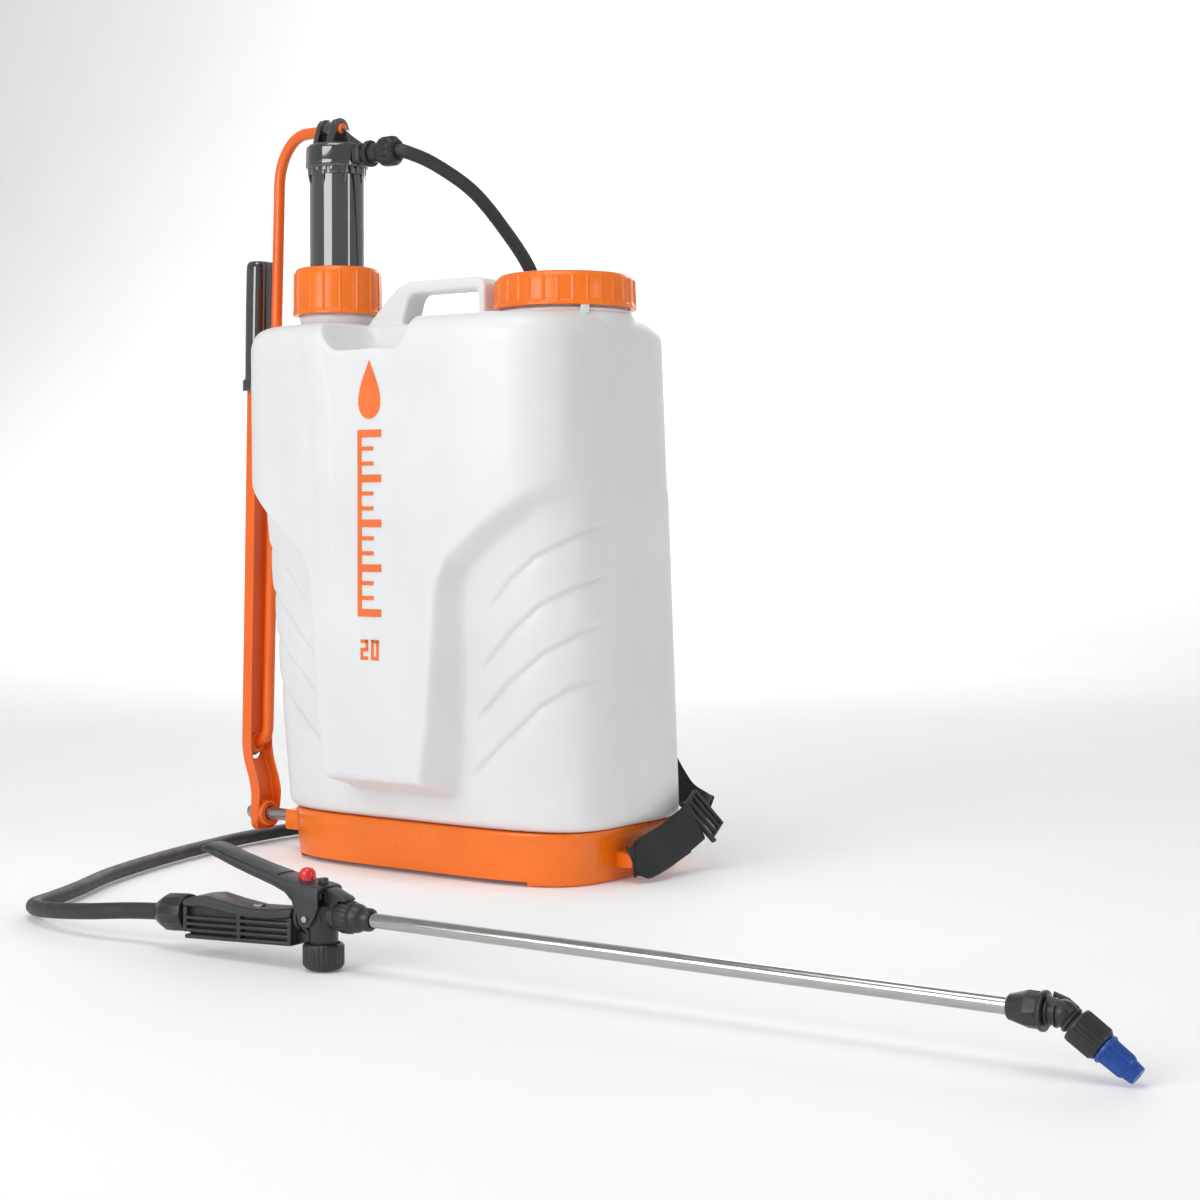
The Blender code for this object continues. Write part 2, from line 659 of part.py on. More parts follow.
def smooth_path(stations, per_span=5):
    """Catmull-Rom points through the stations."""
    points = [Vector(p) for p in stations]
    padded = [points[0] * 2 - points[1]] + points + [points[-1] * 2 - points[-2]]
    path = []
    for a, b, c, d in zip(padded, padded[1:], padded[2:], padded[3:]):
        for i in range(per_span):
            t = i / per_span
            path.append(0.5 * ((2 * b) + (c - a) * t + (2 * a - 5 * b + 4 * c - d) * t * t
                               + (3 * b - a - 3 * c + d) * t ** 3))
    path.append(points[-1])
    return path


def gun_point(x, z):
    """World place of a point in the gun's plane."""
    return GUN_FRAME @ Vector((x, 0.0, z))


def handle_z(x):
    return HANDLE_MID_Z + HANDLE_SLOPE * (x + 0.028)


def make_hoses():
    start_x = PUMP_X + 0.0585
    upper = smooth_path([(start_x, PUMP_Y, 0.6300), (-0.066, PUMP_Y, 0.6300), (-0.057, PUMP_Y, 0.6299),
                         (-0.048, -0.0470, 0.6277), (-0.032, -0.0290, 0.6180),
                         (-0.012, 0.000, 0.5960), (0.000, 0.030, 0.5650), (0.008, 0.060, 0.5290),
                         (0.010, 0.082, 0.4850), (0.010, 0.0880, 0.4400)], 4)
    hose_upper = tube_along("hose_upper", upper, HOSE_RADIUS, "rubber")
    joiner = turned("hose_joiner", [(0.0095, 0.4395), (0.0095, 0.4005), (HOSE_RADIUS + GAP, 0.4005),
                                    (HOSE_RADIUS + GAP, 0.4395)], "matte_black", at(0.010, 0.0880), 16)
    strap = box("hose_clip", (0.030, 0.0050, 0.012), (0.010, 0.0753, 0.4180), "matte_black", bevel=0.001)
    floor_z = HOSE_RADIUS + 0.0014
    end_x = -0.1680
    lower = smooth_path([(0.010, 0.0880, 0.4000), (0.010, 0.0960, 0.300), (0.008, 0.1060, 0.180),
                         (0.000, 0.1190, 0.080), (-0.020, 0.1260, 0.026), (-0.065, 0.1280, floor_z),
                         (-0.150, 0.1180, floor_z),
                         (-0.208, 0.0720, floor_z), (-0.2300, 0.0080, floor_z), (-0.2275, -0.0650, floor_z),
                         (-0.2130, -0.1420, floor_z), (-0.1930, -0.2175, floor_z), (-0.1640, -0.2985, floor_z),
                         (-0.1330, -0.3600, floor_z), (-0.1130, -0.4050, floor_z), (-0.0950, -0.4400, 0.0085),
                         (-0.0560, -0.4620, 0.0125), (-0.0050, -0.4700, 0.0180),
                         tuple(gun_point(end_x - 0.045, handle_z(end_x - 0.045))),
                         tuple(gun_point(end_x, handle_z(end_x)))], 3)
    hose_lower = tube_along("hose_lower", lower, HOSE_RADIUS, "rubber")
    return hose_upper, joiner, strap, hose_lower


# ---------------------------------------------------------------- gun and lance (built along +X, then turned)

def handle_axis(x):
    """Matrix that lays local +Z along the handle's sloping axis, starting at x."""
    tilt = Matrix.Rotation(math.radians(90) - math.atan(HANDLE_SLOPE), 4, 'Y')
    return GUN_FRAME @ Matrix.Translation((x, 0, handle_z(x))) @ tilt


def lance_axis(x):
    tilt = Matrix.Rotation(math.radians(90) - math.atan(LANCE_SLOPE), 4, 'Y')
    return GUN_FRAME @ Matrix.Translation((x, 0, LANCE_Z + LANCE_SLOPE * x)) @ tilt


def gun_side(y=0.0):
    """Local XY onto the gun's vertical plane."""
    return GUN_FRAME @ Matrix.Translation((0, y, 0)) @ Matrix.Rotation(math.radians(90), 4, 'X')


def gun_at(x, z):
    return GUN_FRAME @ Matrix.Translation((x, 0, z))


def make_gun_handle():
    top = [(-0.0560, 0.0412), (-0.0750, 0.0388), (-0.0950, 0.0378), (-0.1150, 0.0400), (-0.1330, 0.0428),
           (-0.1450, 0.0412), (-0.1555, 0.0370)]
    bottom = [(-0.1555, 0.0150), (-0.1480, 0.0135), (-0.1390, 0.0117), (-0.1000, 0.0132), (-0.0560, 0.0150)]
    handle = plate("gun_handle", top + bottom, 0.0250, gun_side(), "matte_black", bevel=0.0028)
    slope = Matrix.Rotation(-math.atan(0.045), 4, 'Y')
    grooves = []
    for side in (-1, 1):
        for row in range(4):
            matrix = gun_at(-0.1040, 0.0165 + 0.0058 * row) @ slope
            grooves.append(box("grip_groove", (0.080, 0.0030, 0.0028), (0, side * 0.0130, 0), matrix=matrix))
    bore = rod("filter_bore", 0.0078, -0.005, 0.085, None, handle_axis(-0.1555), 20)
    handle = cut(handle, *grooves, bore)
    nut_section = [(0.0078, 0.0), (0.0064, 0.0), (0.0064, 0.0272), (0.0133, 0.0272), (0.0133, 0.0080)]
    nut = turned("gun_hose_nut", nut_section, "matte_black", handle_axis(-0.1845), 24)
    filter_section = [(0.0070, 0.0), (0.0060, 0.0), (0.0045, 0.0020), (0.0045, 0.0560), (0.0070, 0.0600)]
    strainer = turned("gun_filter", filter_section, "clear_grey", handle_axis(-0.1500), 16)
    return handle, nut, strainer


def make_valve():
    place = gun_at(VALVE_X, 0.0)
    body = rod("gun_valve_body", 0.0108, 0.0060, 0.0440, "matte_black", place, 28)
    cross = rod("valve_cross", 0.0116, 0.0, 0.0272, None, handle_axis(-0.0556), 24)
    seat = rod("collar_seat", 0.0070, 0.0, 0.0230, None, lance_axis(-0.0300), 20)
    outline = [(-0.0325, 0.0420), (-0.0322, 0.0545), (-0.0300, 0.0560), (-0.0160, 0.0505),
               (-0.0145, 0.0494), (-0.0255, 0.0494), (-0.0290, 0.0420)]
    bracket = plate("valve_bracket", outline, 0.0100, gun_side())
    body = join(body, cross, seat, bracket)
    well = rod("stem_well", 0.0080, 0.0, 0.0300, None, place, 20)
    guide = rod("stem_guide", 0.0024, 0.0, 0.070, None, place, 12)
    lance_bore = rod("lance_bore", LANCE_RADIUS + GAP, 0.0, 0.030, None, lance_axis(-0.0170), 16)
    pin_bore = rod("pin_bore", 0.0022 + GAP, -0.020, 0.020, None, gun_side() @ at(*TRIGGER_PIVOT), 12)
    body = cut(body, well, guide, lance_bore, pin_bore)
    cap_section = [(0, 0.0035), (0.0111, 0.0035), (0.0111, 0.0180), (0.0142, 0.0180), (0.0142, 0.0030),
                   (0.0125, 0.0004), (0, 0.0004)]
    cap = turned("valve_cap", cap_section, "matte_black", place, 28, closed=False)
    return body, cap


def make_valve_stem():
    place = gun_at(VALVE_X, 0.0)
    section = [(0, 0.0520), (0.0020, 0.0515), (0.0020, 0.0100), (0.0060, 0.0095), (0.0060, 0.0060), (0, 0.0060)]
    stem = turned("valve_stem", section, "stainless", place, 14, closed=False)
    turns, per_turn, height, coil, foot = 6, 10, 0.0165, 0.0050, 0.0112
    points = []
    for i in range(turns * per_turn + 1):
        a = 2 * math.pi * i / per_turn
        points.append((coil * math.cos(a), coil * math.sin(a), foot + height * i / (turns * per_turn)))
    spring = tube_along("valve_spring", points, 0.0006, "stainless", 1, place)
    return stem, spring


def make_trigger():
    top = [(-0.0330, 0.0575), (-0.0440, 0.0594), (-0.0603, 0.0613), (-0.0879, 0.0666), (-0.1115, 0.0724),
           (-0.1251, 0.0765), (-0.1345, 0.0785)]
    tip = [(-0.1395, 0.0765), (-0.1400, 0.0735)]
    bottom = [(-0.1252, 0.0702), (-0.1025, 0.0636), (-0.0802, 0.0577), (-0.0603, 0.0515), (-0.0550, 0.0467),
              (-0.0505, 0.0390)]
    foot = arc(TRIGGER_PIVOT, 0.0058, 200, 340, 7)
    outline = top + tip + bottom + foot + [(-0.0330, 0.0450)]
    width, sheet = 0.0270, 0.0016
    trigger = plate("trigger", outline, width, gun_side(), "matte_black", bevel=0.0015)
    inner_top = [(x + 0.0006, z - 0.0026) for x, z in top]
    inner_low = [(-0.1375, 0.0700), (-0.1420, 0.0550), (-0.0900, 0.0200), (-0.0200, 0.0200)]
    inner = [(-0.0200, 0.0550)] + inner_top + inner_low
    hollow = plate("trigger_inside", inner, width - 2 * sheet, gun_side())
    button_hole = rod("button_hole", 0.0062, 0.045, 0.075, None, gun_at(-0.0515, 0.0), 20)
    pin_bore = rod("pin_bore", 0.0022 + GAP, -0.020, 0.020, None, gun_side() @ at(*TRIGGER_PIVOT), 12)
    trigger = cut(trigger, hollow, button_hole, pin_bore)
    button = turned("lock_button", [(0, 0.0684), (0.0030, 0.0678), (0.0052, 0.0658), (0.0058, 0.0630),
                                    (0.0058, 0.0560), (0, 0.0560)], "red_plastic", gun_at(-0.0515, 0.0), 20,
                    closed=False)
    pin = rod("trigger_pin", 0.0022, -0.0150, 0.0150, "stainless", gun_side() @ at(*TRIGGER_PIVOT), 12)
    joint_empty("trigger_axis", (TRIGGER_PIVOT[0], 0, TRIGGER_PIVOT[1]), [trigger, button], GUN_FRAME)
    return trigger, button, pin


def make_collar():
    section = [(0.0073, 0.0222), (LANCE_RADIUS + GAP, 0.0222), (LANCE_RADIUS + GAP, 0.0300), (0.0066, 0.0300),
               (0.0080, 0.0276), (0.0080, 0.0236), (0.0107, 0.0150), (0.0107, 0.0060), (0.0099, 0.0010),
               (0.0073, 0.0)]
    collar = turned("collar_nut", section, "matte_black", lance_axis(-0.0260), 20)
    seal = ring("lance_seal", LANCE_RADIUS + GAP, 0.0070, 0.0, 0.0018, "rubber", lance_axis(-0.0060), 16)
    return collar, seal


def elbow_frame():
    """Frame at the elbow's bend with local +Z pointing down along the nozzle."""
    turn = Matrix.Rotation(math.radians(90) + ELBOW_ANGLE, 4, 'Y')
    return GUN_FRAME @ Matrix.Translation((ELBOW_X, 0, LANCE_Z + LANCE_SLOPE * ELBOW_X)) @ turn


def make_lance():
    tube = ring("lance_tube", 0.0040, LANCE_RADIUS, 0.0, 0.4670, "stainless", lance_axis(-0.0150), 20)
    nut_section = [(LANCE_RADIUS + GAP, 0.0), (LANCE_RADIUS + GAP, 0.0120), (0.0074, 0.0120), (0.0074, 0.0218),
                   (0.0116, 0.0218), (0.0116, 0.0190), (0.0106, 0.0185), (0.0106, 0.0110), (0.0078, 0.0020),
                   (0.0060, 0.0)]
    nut = turned("tip_nut", nut_section, "matte_black", lance_axis(LANCE_END - 0.0218), 16)
    bend_frame = elbow_frame()
    start = lance_axis(LANCE_END - 0.0090)
    inlet = rod("elbow_inlet", 0.0070, 0.0, 0.0180, None, start, 20)
    elbow = rod("tip_elbow", 0.0068, -0.002, 0.0200, "matte_black", bend_frame, 20)
    knee = bmesh.new()
    bmesh.ops.create_uvsphere(knee, u_segments=16, v_segments=10, radius=0.0076)
    knee.transform(bend_frame)
    knee_mesh = bpy.data.meshes.new("elbow_knee")
    knee.to_mesh(knee_mesh)
    knee.free()
    elbow = join(elbow, inlet, link_mesh("elbow_knee", knee_mesh))
    passage = [rod("elbow_passage", 0.0026, -0.0015, 0.030, None, bend_frame, 12),
               rod("elbow_passage", 0.0030, -0.005, 0.0210, None, start, 12)]
    elbow = cut(elbow, *passage)
    cap_section = [(0.0073, 0.0190), (0.0086, 0.0190), (0.0100, 0.0170), (0.0104, 0.0004), (0.0073, 0.0)]
    cap = turned("tip_cap_nut", cap_section, "matte_black", bend_frame @ at(0, 0, 0.0085), 20)
    nozzle_section = [(0.0030, 0.0160), (0.0012, 0.0180), (0.0012, 0.0232), (0.0058, 0.0232), (0.0062, 0.0200),
                      (0.0074, 0.0155), (0.0078, 0.0030), (0.0090, 0.0022), (0.0088, 0.0), (0.0030, 0.0)]
    nozzle = turned("nozzle", nozzle_section, "blue_plastic", bend_frame @ at(0, 0, 0.0278), 18)
    return tube, nut, elbow, cap, nozzle


# ---------------------------------------------------------------- harness

def strap_between(name, stations, width, thickness, mat, across=(1, 0, 0)):
    """A flat strap through stations, its width along a fixed direction."""
    path = smooth_path(stations, 3)
    side = Vector(across).normalized()
    sections = []
    for i, place in enumerate(path):
        ahead = path[min(i + 1, len(path) - 1)] - path[max(i - 1, 0)]
        normal = ahead.cross(side).normalized()
        flat = normal.cross(ahead).normalized()
        w, t = flat * width / 2, normal * thickness / 2
        sections.append([place - w - t, place + w - t, place + w + t, place - w + t])
    return loft(name, sections, mat)


def buckle_frame(side):
    """Frame of a ladder buckle: local Z along its bars, local Y along the webbing."""
    bars = Vector((-0.42 * side, -0.50, 0.76)).normalized()
    along = Vector((0.0, 0.93, 0.36))
    along = (along - bars * along.dot(bars)).normalized()
    across = along.cross(bars)
    turn = Matrix((across, along, bars)).transposed().to_4x4()
    return at(0.1880 * side, 0.0690, 0.0480) @ turn


def make_harness():
    pieces = []
    for side, tag in ((-1, "left"), (1, "right")):
        x = 0.060 * side
        pad_line = [(x * 0.90, 0.0895, 0.4480), (x * 0.93, 0.1120, 0.4540), (x * 0.97, 0.1340, 0.4220),
                    (x, 0.1420, 0.3550), (x, 0.1400, 0.2700), (x * 1.02, 0.1300, 0.1900)]
        pad = strap_between("shoulder_pad_" + tag, pad_line, 0.048, 0.010, "webbing")
        anchor = box("strap_anchor_" + tag, (0.050, 0.0105, 0.024), (x * 0.90, 0.0768, 0.4435), "matte_black",
                     bevel=0.0015)
        tail_line = [(x * 1.03, 0.1287, 0.1855), (0.080 * side, 0.1240, 0.1400), (0.108 * side, 0.1220, 0.0950),
                     (0.135 * side, 0.1200, 0.0600), (0.162 * side, 0.1100, 0.0490),
                     (0.1830 * side, 0.0865, 0.0500)]
        tail_across = (0.45 * side, 0.0, 0.90)
        tail = strap_between("webbing_upper_" + tag, tail_line, 0.026, 0.0020, "webbing", tail_across)
        lower_line = [(0.1834 * side, -0.0300, 0.0190), (0.1858 * side, -0.0120, 0.0215),
                      (0.1866 * side, 0.0150, 0.0280), (0.1875 * side, 0.0400, 0.0370),
                      (0.1879 * side, 0.0520, 0.0415)]
        lower_across = (-0.25 * side, -0.44, 0.86)
        lower = strap_between("webbing_lower_" + tag, lower_line, 0.036, 0.0024, "webbing", lower_across)
        buckle = box("ladder_buckle_" + tag, (0.0060, 0.0240, 0.0460), (0, 0, 0), "matte_black",
                     buckle_frame(side), 0.0012)
        pieces += [pad, anchor, tail, lower, buckle]
    return pieces


def main():
    reset_scene()
    make_materials()
    make_tank()
    make_base()
    make_axle()
    make_filler()
    make_pump_nut()
    make_barrel()
    chamber = make_chamber()
    cap = make_chamber_cap()
    joint_empty("chamber_slide", (PUMP_X, PUMP_Y, NUT_Z[1]), [*chamber, *cap])
    make_lever()
    make_link()
    make_hoses()
    make_gun_handle()
    make_valve()
    make_valve_stem()
    make_trigger()
    make_collar()
    make_lance()
    make_harness()


main()
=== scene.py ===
"""Looks of the backpack sprayer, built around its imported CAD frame.

Metres, +Z up. +X is the filler-lid side, -X the lever side, -Y the tank's front, +Y the wearer's back.
"""
import math

import bmesh
import bpy
import numpy as np
from mathutils import Matrix, Vector
from mathutils.bvhtree import BVHTree


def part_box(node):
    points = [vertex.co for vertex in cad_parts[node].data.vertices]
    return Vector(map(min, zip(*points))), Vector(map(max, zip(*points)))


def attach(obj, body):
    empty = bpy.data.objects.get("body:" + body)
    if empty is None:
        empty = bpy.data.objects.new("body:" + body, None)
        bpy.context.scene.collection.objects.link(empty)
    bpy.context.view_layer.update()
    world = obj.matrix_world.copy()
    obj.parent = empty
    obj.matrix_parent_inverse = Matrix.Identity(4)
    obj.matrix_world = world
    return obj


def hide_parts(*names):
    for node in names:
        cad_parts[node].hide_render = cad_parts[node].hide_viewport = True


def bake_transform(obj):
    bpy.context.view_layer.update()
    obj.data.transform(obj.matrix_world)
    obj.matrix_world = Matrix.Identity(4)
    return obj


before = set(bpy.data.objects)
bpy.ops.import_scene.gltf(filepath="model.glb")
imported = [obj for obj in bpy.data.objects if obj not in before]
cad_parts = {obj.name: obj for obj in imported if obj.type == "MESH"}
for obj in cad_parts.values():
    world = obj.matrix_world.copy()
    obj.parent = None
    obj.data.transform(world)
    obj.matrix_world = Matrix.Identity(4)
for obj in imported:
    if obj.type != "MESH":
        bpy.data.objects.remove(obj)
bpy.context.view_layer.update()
TANK = "tank_body"

# ---------------------------------------------------------------- places taken from the frame

def middle(node):
    low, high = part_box(node)
    return (Vector(low) + Vector(high)) / 2


def top_of(node):
    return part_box(node)[1][2]


def bottom_of(node):
    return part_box(node)[0][2]


def at(x, y, z=0.0):
    return Matrix.Translation((x, y, z))


def turn(degrees, axis):
    return Matrix.Rotation(math.radians(degrees), 4, axis)


PUMP, LID = middle("pump_nut"), middle("filler_lid")
PUMP_AT, LID_AT = at(PUMP.x, PUMP.y), at(LID.x, LID.y)
TANK_LOW, TANK_HIGH = bottom_of("tank"), 0.4735      # the shoulder line, below the handle and the necks
TANK_HALF, FRONT_Y = 0.1755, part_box("tank")[0][1]    # half the tank's width, and its front face
BASE_TOP = top_of("base")
AXLE_YZ, EYE_YZ = (-0.058, 0.031), (-0.051, 0.095)   # lever pivot in the base, and link end in the lever
HEAD_Z, OUTLET_Z = 0.655, 0.63                       # link end and hose outlet on the pump head
GUN = at(0.2529, -0.4515) @ turn(3.6, "Z")           # the gun's own frame: +X along the lance, on the floor
LANCE_Z, LANCE_SLOPE = 0.0375, -0.007
HANDLE_Z, HANDLE_SLOPE, GRIP_X = 0.0365, 0.0747, -0.028
ELBOW = math.radians(35)
HOSE_RADIUS = 0.006


def mm(*points):
    """A table written in millimetres, as points in metres."""
    return [tuple(round(value / 1000, 7) for value in point) for point in points]


def raised(z, *points):
    """A millimetre profile of radii and heights above z."""
    return [(r, z + up) for r, up in mm(*points)]


def along_x(x, y, z):
    """Local +Z laid along world +X."""
    return at(x, y, z) @ turn(90, "Y")


# local XY laid along world XZ, and along world YZ
FRONT_ON = Matrix(((1, 0, 0, 0), (0, 0, -1, 0), (0, 1, 0, 0), (0, 0, 0, 1)))
SIDE_ON = Matrix(((0, 0, 1, 0), (1, 0, 0, 0), (0, 1, 0, 0), (0, 0, 0, 1)))


def lance_axis(x):
    tilt = Matrix.Rotation(math.radians(90) - math.atan(LANCE_SLOPE), 4, "Y")
    return GUN @ at(x, 0, LANCE_Z + LANCE_SLOPE * x) @ tilt


def handle_axis(x):
    tilt = Matrix.Rotation(math.radians(90) - math.atan(HANDLE_SLOPE), 4, "Y")
    return GUN @ at(x, 0, HANDLE_Z + HANDLE_SLOPE * (x - GRIP_X)) @ tilt


def elbow_axis(along=0.0):
    """Local +Z pointing down along the nozzle, from the elbow's bend."""
    x = 0.479
    return (GUN @ at(x, 0, LANCE_Z + LANCE_SLOPE * x) @ Matrix.Rotation(math.radians(90) + ELBOW, 4, "Y")
            @ at(0, 0, along))


# ---------------------------------------------------------------- materials

class Shader:
    """A node material built in code; every pattern is procedural and in object coordinates."""

    def __init__(self, name, roughness=0.5, metallic=0.0, **sockets):
        self.mat = bpy.data.materials.new(name)
        self.mat.use_nodes = True
        self.tree = self.mat.node_tree
        self.bsdf = self.tree.nodes["Principled BSDF"]
        self.bsdf.inputs["Roughness"].default_value = roughness
        self.bsdf.inputs["Metallic"].default_value = metallic
        for key, value in sockets.items():
            self.bsdf.inputs[key.replace("_", " ")].default_value = value
        self.coords = self.node("ShaderNodeTexCoord").outputs["Object"]

    def node(self, kind, **settings):
        made = self.tree.nodes.new(kind)
        for key, value in settings.items():
            setattr(made, key, value)
        return made

    def link(self, source, target):
        self.tree.links.new(source, target)

    def noise(self, scale, detail=3.0, stretch=None):
        source = self.coords
        if stretch:
            mapping = self.node("ShaderNodeMapping")
            mapping.inputs["Scale"].default_value = stretch
            self.link(source, mapping.inputs["Vector"])
            source = mapping.outputs["Vector"]
        made = self.node("ShaderNodeTexNoise")
        made.inputs["Scale"].default_value = scale
        made.inputs["Detail"].default_value = detail
        made.inputs["Roughness"].default_value = 0.55
        self.link(source, made.inputs["Vector"])
        return made.outputs["Fac"]

    def remap(self, value, low, high, to_low=0.0, to_high=1.0):
        made = self.node("ShaderNodeMapRange")
        for index, number in enumerate((low, high, to_low, to_high)):
            made.inputs[index + 1].default_value = number
        self.link(value, made.inputs[0])
        return made.outputs[0]

    def math(self, operation, a, b=None):
        made = self.node("ShaderNodeMath", operation=operation)
        for socket, value in zip(made.inputs, (a, b)):
            if value is None:
                continue
            if isinstance(value, (int, float)):
                socket.default_value = value
            else:
                self.link(value, socket)
        return made.outputs[0]

    def blend(self, factor, first, second):
        made = self.node("ShaderNodeMix", data_type="RGBA")
        if isinstance(factor, (int, float)):
            made.inputs[0].default_value = factor
        else:
            self.link(factor, made.inputs[0])
        for socket, value in ((made.inputs[6], first), (made.inputs[7], second)):
            if isinstance(value, tuple):
                socket.default_value = (*value, 1.0)
            else:
                self.link(value, socket)
        return made.outputs[2]

    def wear(self, low=0.52, high=0.62):
        """1 on convex edges."""
        geometry = self.node("ShaderNodeNewGeometry")
        return self.remap(geometry.outputs["Pointiness"], low, high)

    def bump(self, height, strength, distance=0.001):
        made = self.node("ShaderNodeBump")
        made.inputs["Strength"].default_value = strength
        made.inputs["Distance"].default_value = distance
        self.link(height, made.inputs["Height"])
        self.link(made.outputs["Normal"], self.bsdf.inputs["Normal"])

    def finish(self, colour, roughness=None):
        self.link(colour, self.bsdf.inputs["Base Color"])
        if roughness is not None:
            self.link(roughness, self.bsdf.inputs["Roughness"])
        return self.mat


def scaled(colour, factor):
    return tuple(min(1.0, c * factor) for c in colour)


def moulded(name, colour, rough, grain=1400.0, grain_strength=0.05, edge=1.25, mottle=0.1, **sockets):
    """Injection-moulded plastic: slight colour mottle, lighter rubbed edges, fine surface grain."""
    shader = Shader(name, rough, **sockets)
    broad = shader.remap(shader.noise(28.0, 4.0), 0.35, 0.65)
    base = shader.blend(broad, scaled(colour, 1 - mottle), scaled(colour, 1 + mottle))
    rubbed = shader.math("MULTIPLY", shader.wear(),
                         shader.remap(shader.noise(160.0, 3.0), 0.35, 0.7, 0.2, 0.9))
    base = shader.blend(rubbed, base, scaled(colour, edge))
    smudge = shader.remap(shader.noise(60.0, 5.0), 0.3, 0.7, rough * 0.82, min(1.0, rough * 1.22))
    shader.bump(shader.noise(grain, 2.0), grain_strength, 0.0006)
    return shader.finish(base, smudge)


def painted(name, colour, rough):
    """Powder-coated steel: fine orange peel and slightly lighter edges."""
    shader = Shader(name, rough, Coat_Weight=0.35, Coat_Roughness=0.18)
    broad = shader.remap(shader.noise(14.0, 3.0), 0.35, 0.65)
    base = shader.blend(broad, scaled(colour, 0.93), scaled(colour, 1.05))
    base = shader.blend(shader.wear(0.515, 0.6), base,
                        (min(1, colour[0] * 1.1), colour[1] * 1.55, colour[2] * 2.2))
    shader.bump(shader.noise(700.0, 2.0), 0.1, 0.0008)
    return shader.finish(base, shader.remap(shader.noise(90.0, 4.0), 0.3, 0.7, rough * 0.8, rough * 1.2))


def tank_plastic():
    """Blow-moulded translucent polyethylene: milky, with faint cloudiness and flow lines."""
    shader = Shader("tank_hdpe", 0.38, Subsurface_Weight=0.3, Subsurface_Scale=0.012, Coat_Weight=0.12,
                    Coat_Roughness=0.3)
    shader.bsdf.inputs["Subsurface Radius"].default_value = (1.0, 0.9, 0.85)
    cloud = shader.remap(shader.noise(9.0, 5.0), 0.3, 0.7)
    base = shader.blend(cloud, (0.735, 0.745, 0.755), (0.8, 0.805, 0.81))
    flow = shader.remap(shader.noise(30.0, 3.0, stretch=(1.0, 1.0, 0.12)), 0.35, 0.75, 0.0, 0.35)
    base = shader.blend(flow, base, (0.83, 0.83, 0.83))
    grain = shader.math("ADD", shader.noise(420.0, 3.0),
                        shader.math("MULTIPLY", shader.noise(60.0, 2.0), 0.7))
    shader.bump(grain, 0.06, 0.001)
    return shader.finish(base, shader.remap(shader.noise(45.0, 4.0), 0.3, 0.7, 0.32, 0.46))


def metal(name, colour, rough, lines=(1.0, 1.0, 1.0), scale=500.0):
    shader = Shader(name, rough, 1.0)
    streak = shader.noise(scale, 3.0, stretch=lines)
    base = shader.blend(shader.remap(streak, 0.3, 0.7), scaled(colour, 0.88), scaled(colour, 1.08))
    shader.bump(streak, 0.04, 0.0004)
    return shader.finish(base, shader.remap(streak, 0.3, 0.7, rough * 0.7, rough * 1.35))


def rubber(name, colour, rough):
    shader = Shader(name, rough)
    dust = shader.remap(shader.noise(75.0, 6.0), 0.45, 0.8, 0.0, 0.6)
    base = shader.blend(dust, colour, scaled(colour, 1.7))
    shader.bump(shader.noise(1100.0, 2.0), 0.12, 0.0005)
    return shader.finish(base, shader.remap(shader.noise(140.0, 3.0), 0.3, 0.7, rough * 0.9,
                                             min(1, rough * 1.15)))


def woven(name, colour, across, along):
    """Woven webbing: threads across and along the strap, in the strap's own metre coordinates."""
    shader = Shader(name, 0.85, Sheen_Weight=0.15, Sheen_Roughness=0.5)
    uv = shader.node("ShaderNodeUVMap", uv_map="strap").outputs["UV"]
    split = shader.node("ShaderNodeSeparateXYZ")
    shader.link(uv, split.inputs[0])
    warp = shader.math("SINE", shader.math("MULTIPLY", split.outputs["Y"], across))
    weft = shader.math("SINE", shader.math("MULTIPLY", split.outputs["X"], along))
    pattern = shader.math("MULTIPLY", warp, weft)
    height = shader.math("ADD", shader.math("ABSOLUTE", warp), shader.math("MULTIPLY", pattern, 0.6))
    fuzz = shader.noise(900.0, 3.0)
    tone = shader.math("ADD", shader.math("MULTIPLY", height, 0.45), shader.math("MULTIPLY", fuzz, 0.5))
    base = shader.blend(shader.remap(tone, 0.1, 1.0), scaled(colour, 0.55), scaled(colour, 1.7))
    shader.bump(shader.math("ADD", height, shader.math("MULTIPLY", fuzz, 0.4)), 0.55, 0.0006)
    return shader.finish(base, shader.remap(fuzz, 0.3, 0.7, 0.75, 0.95))


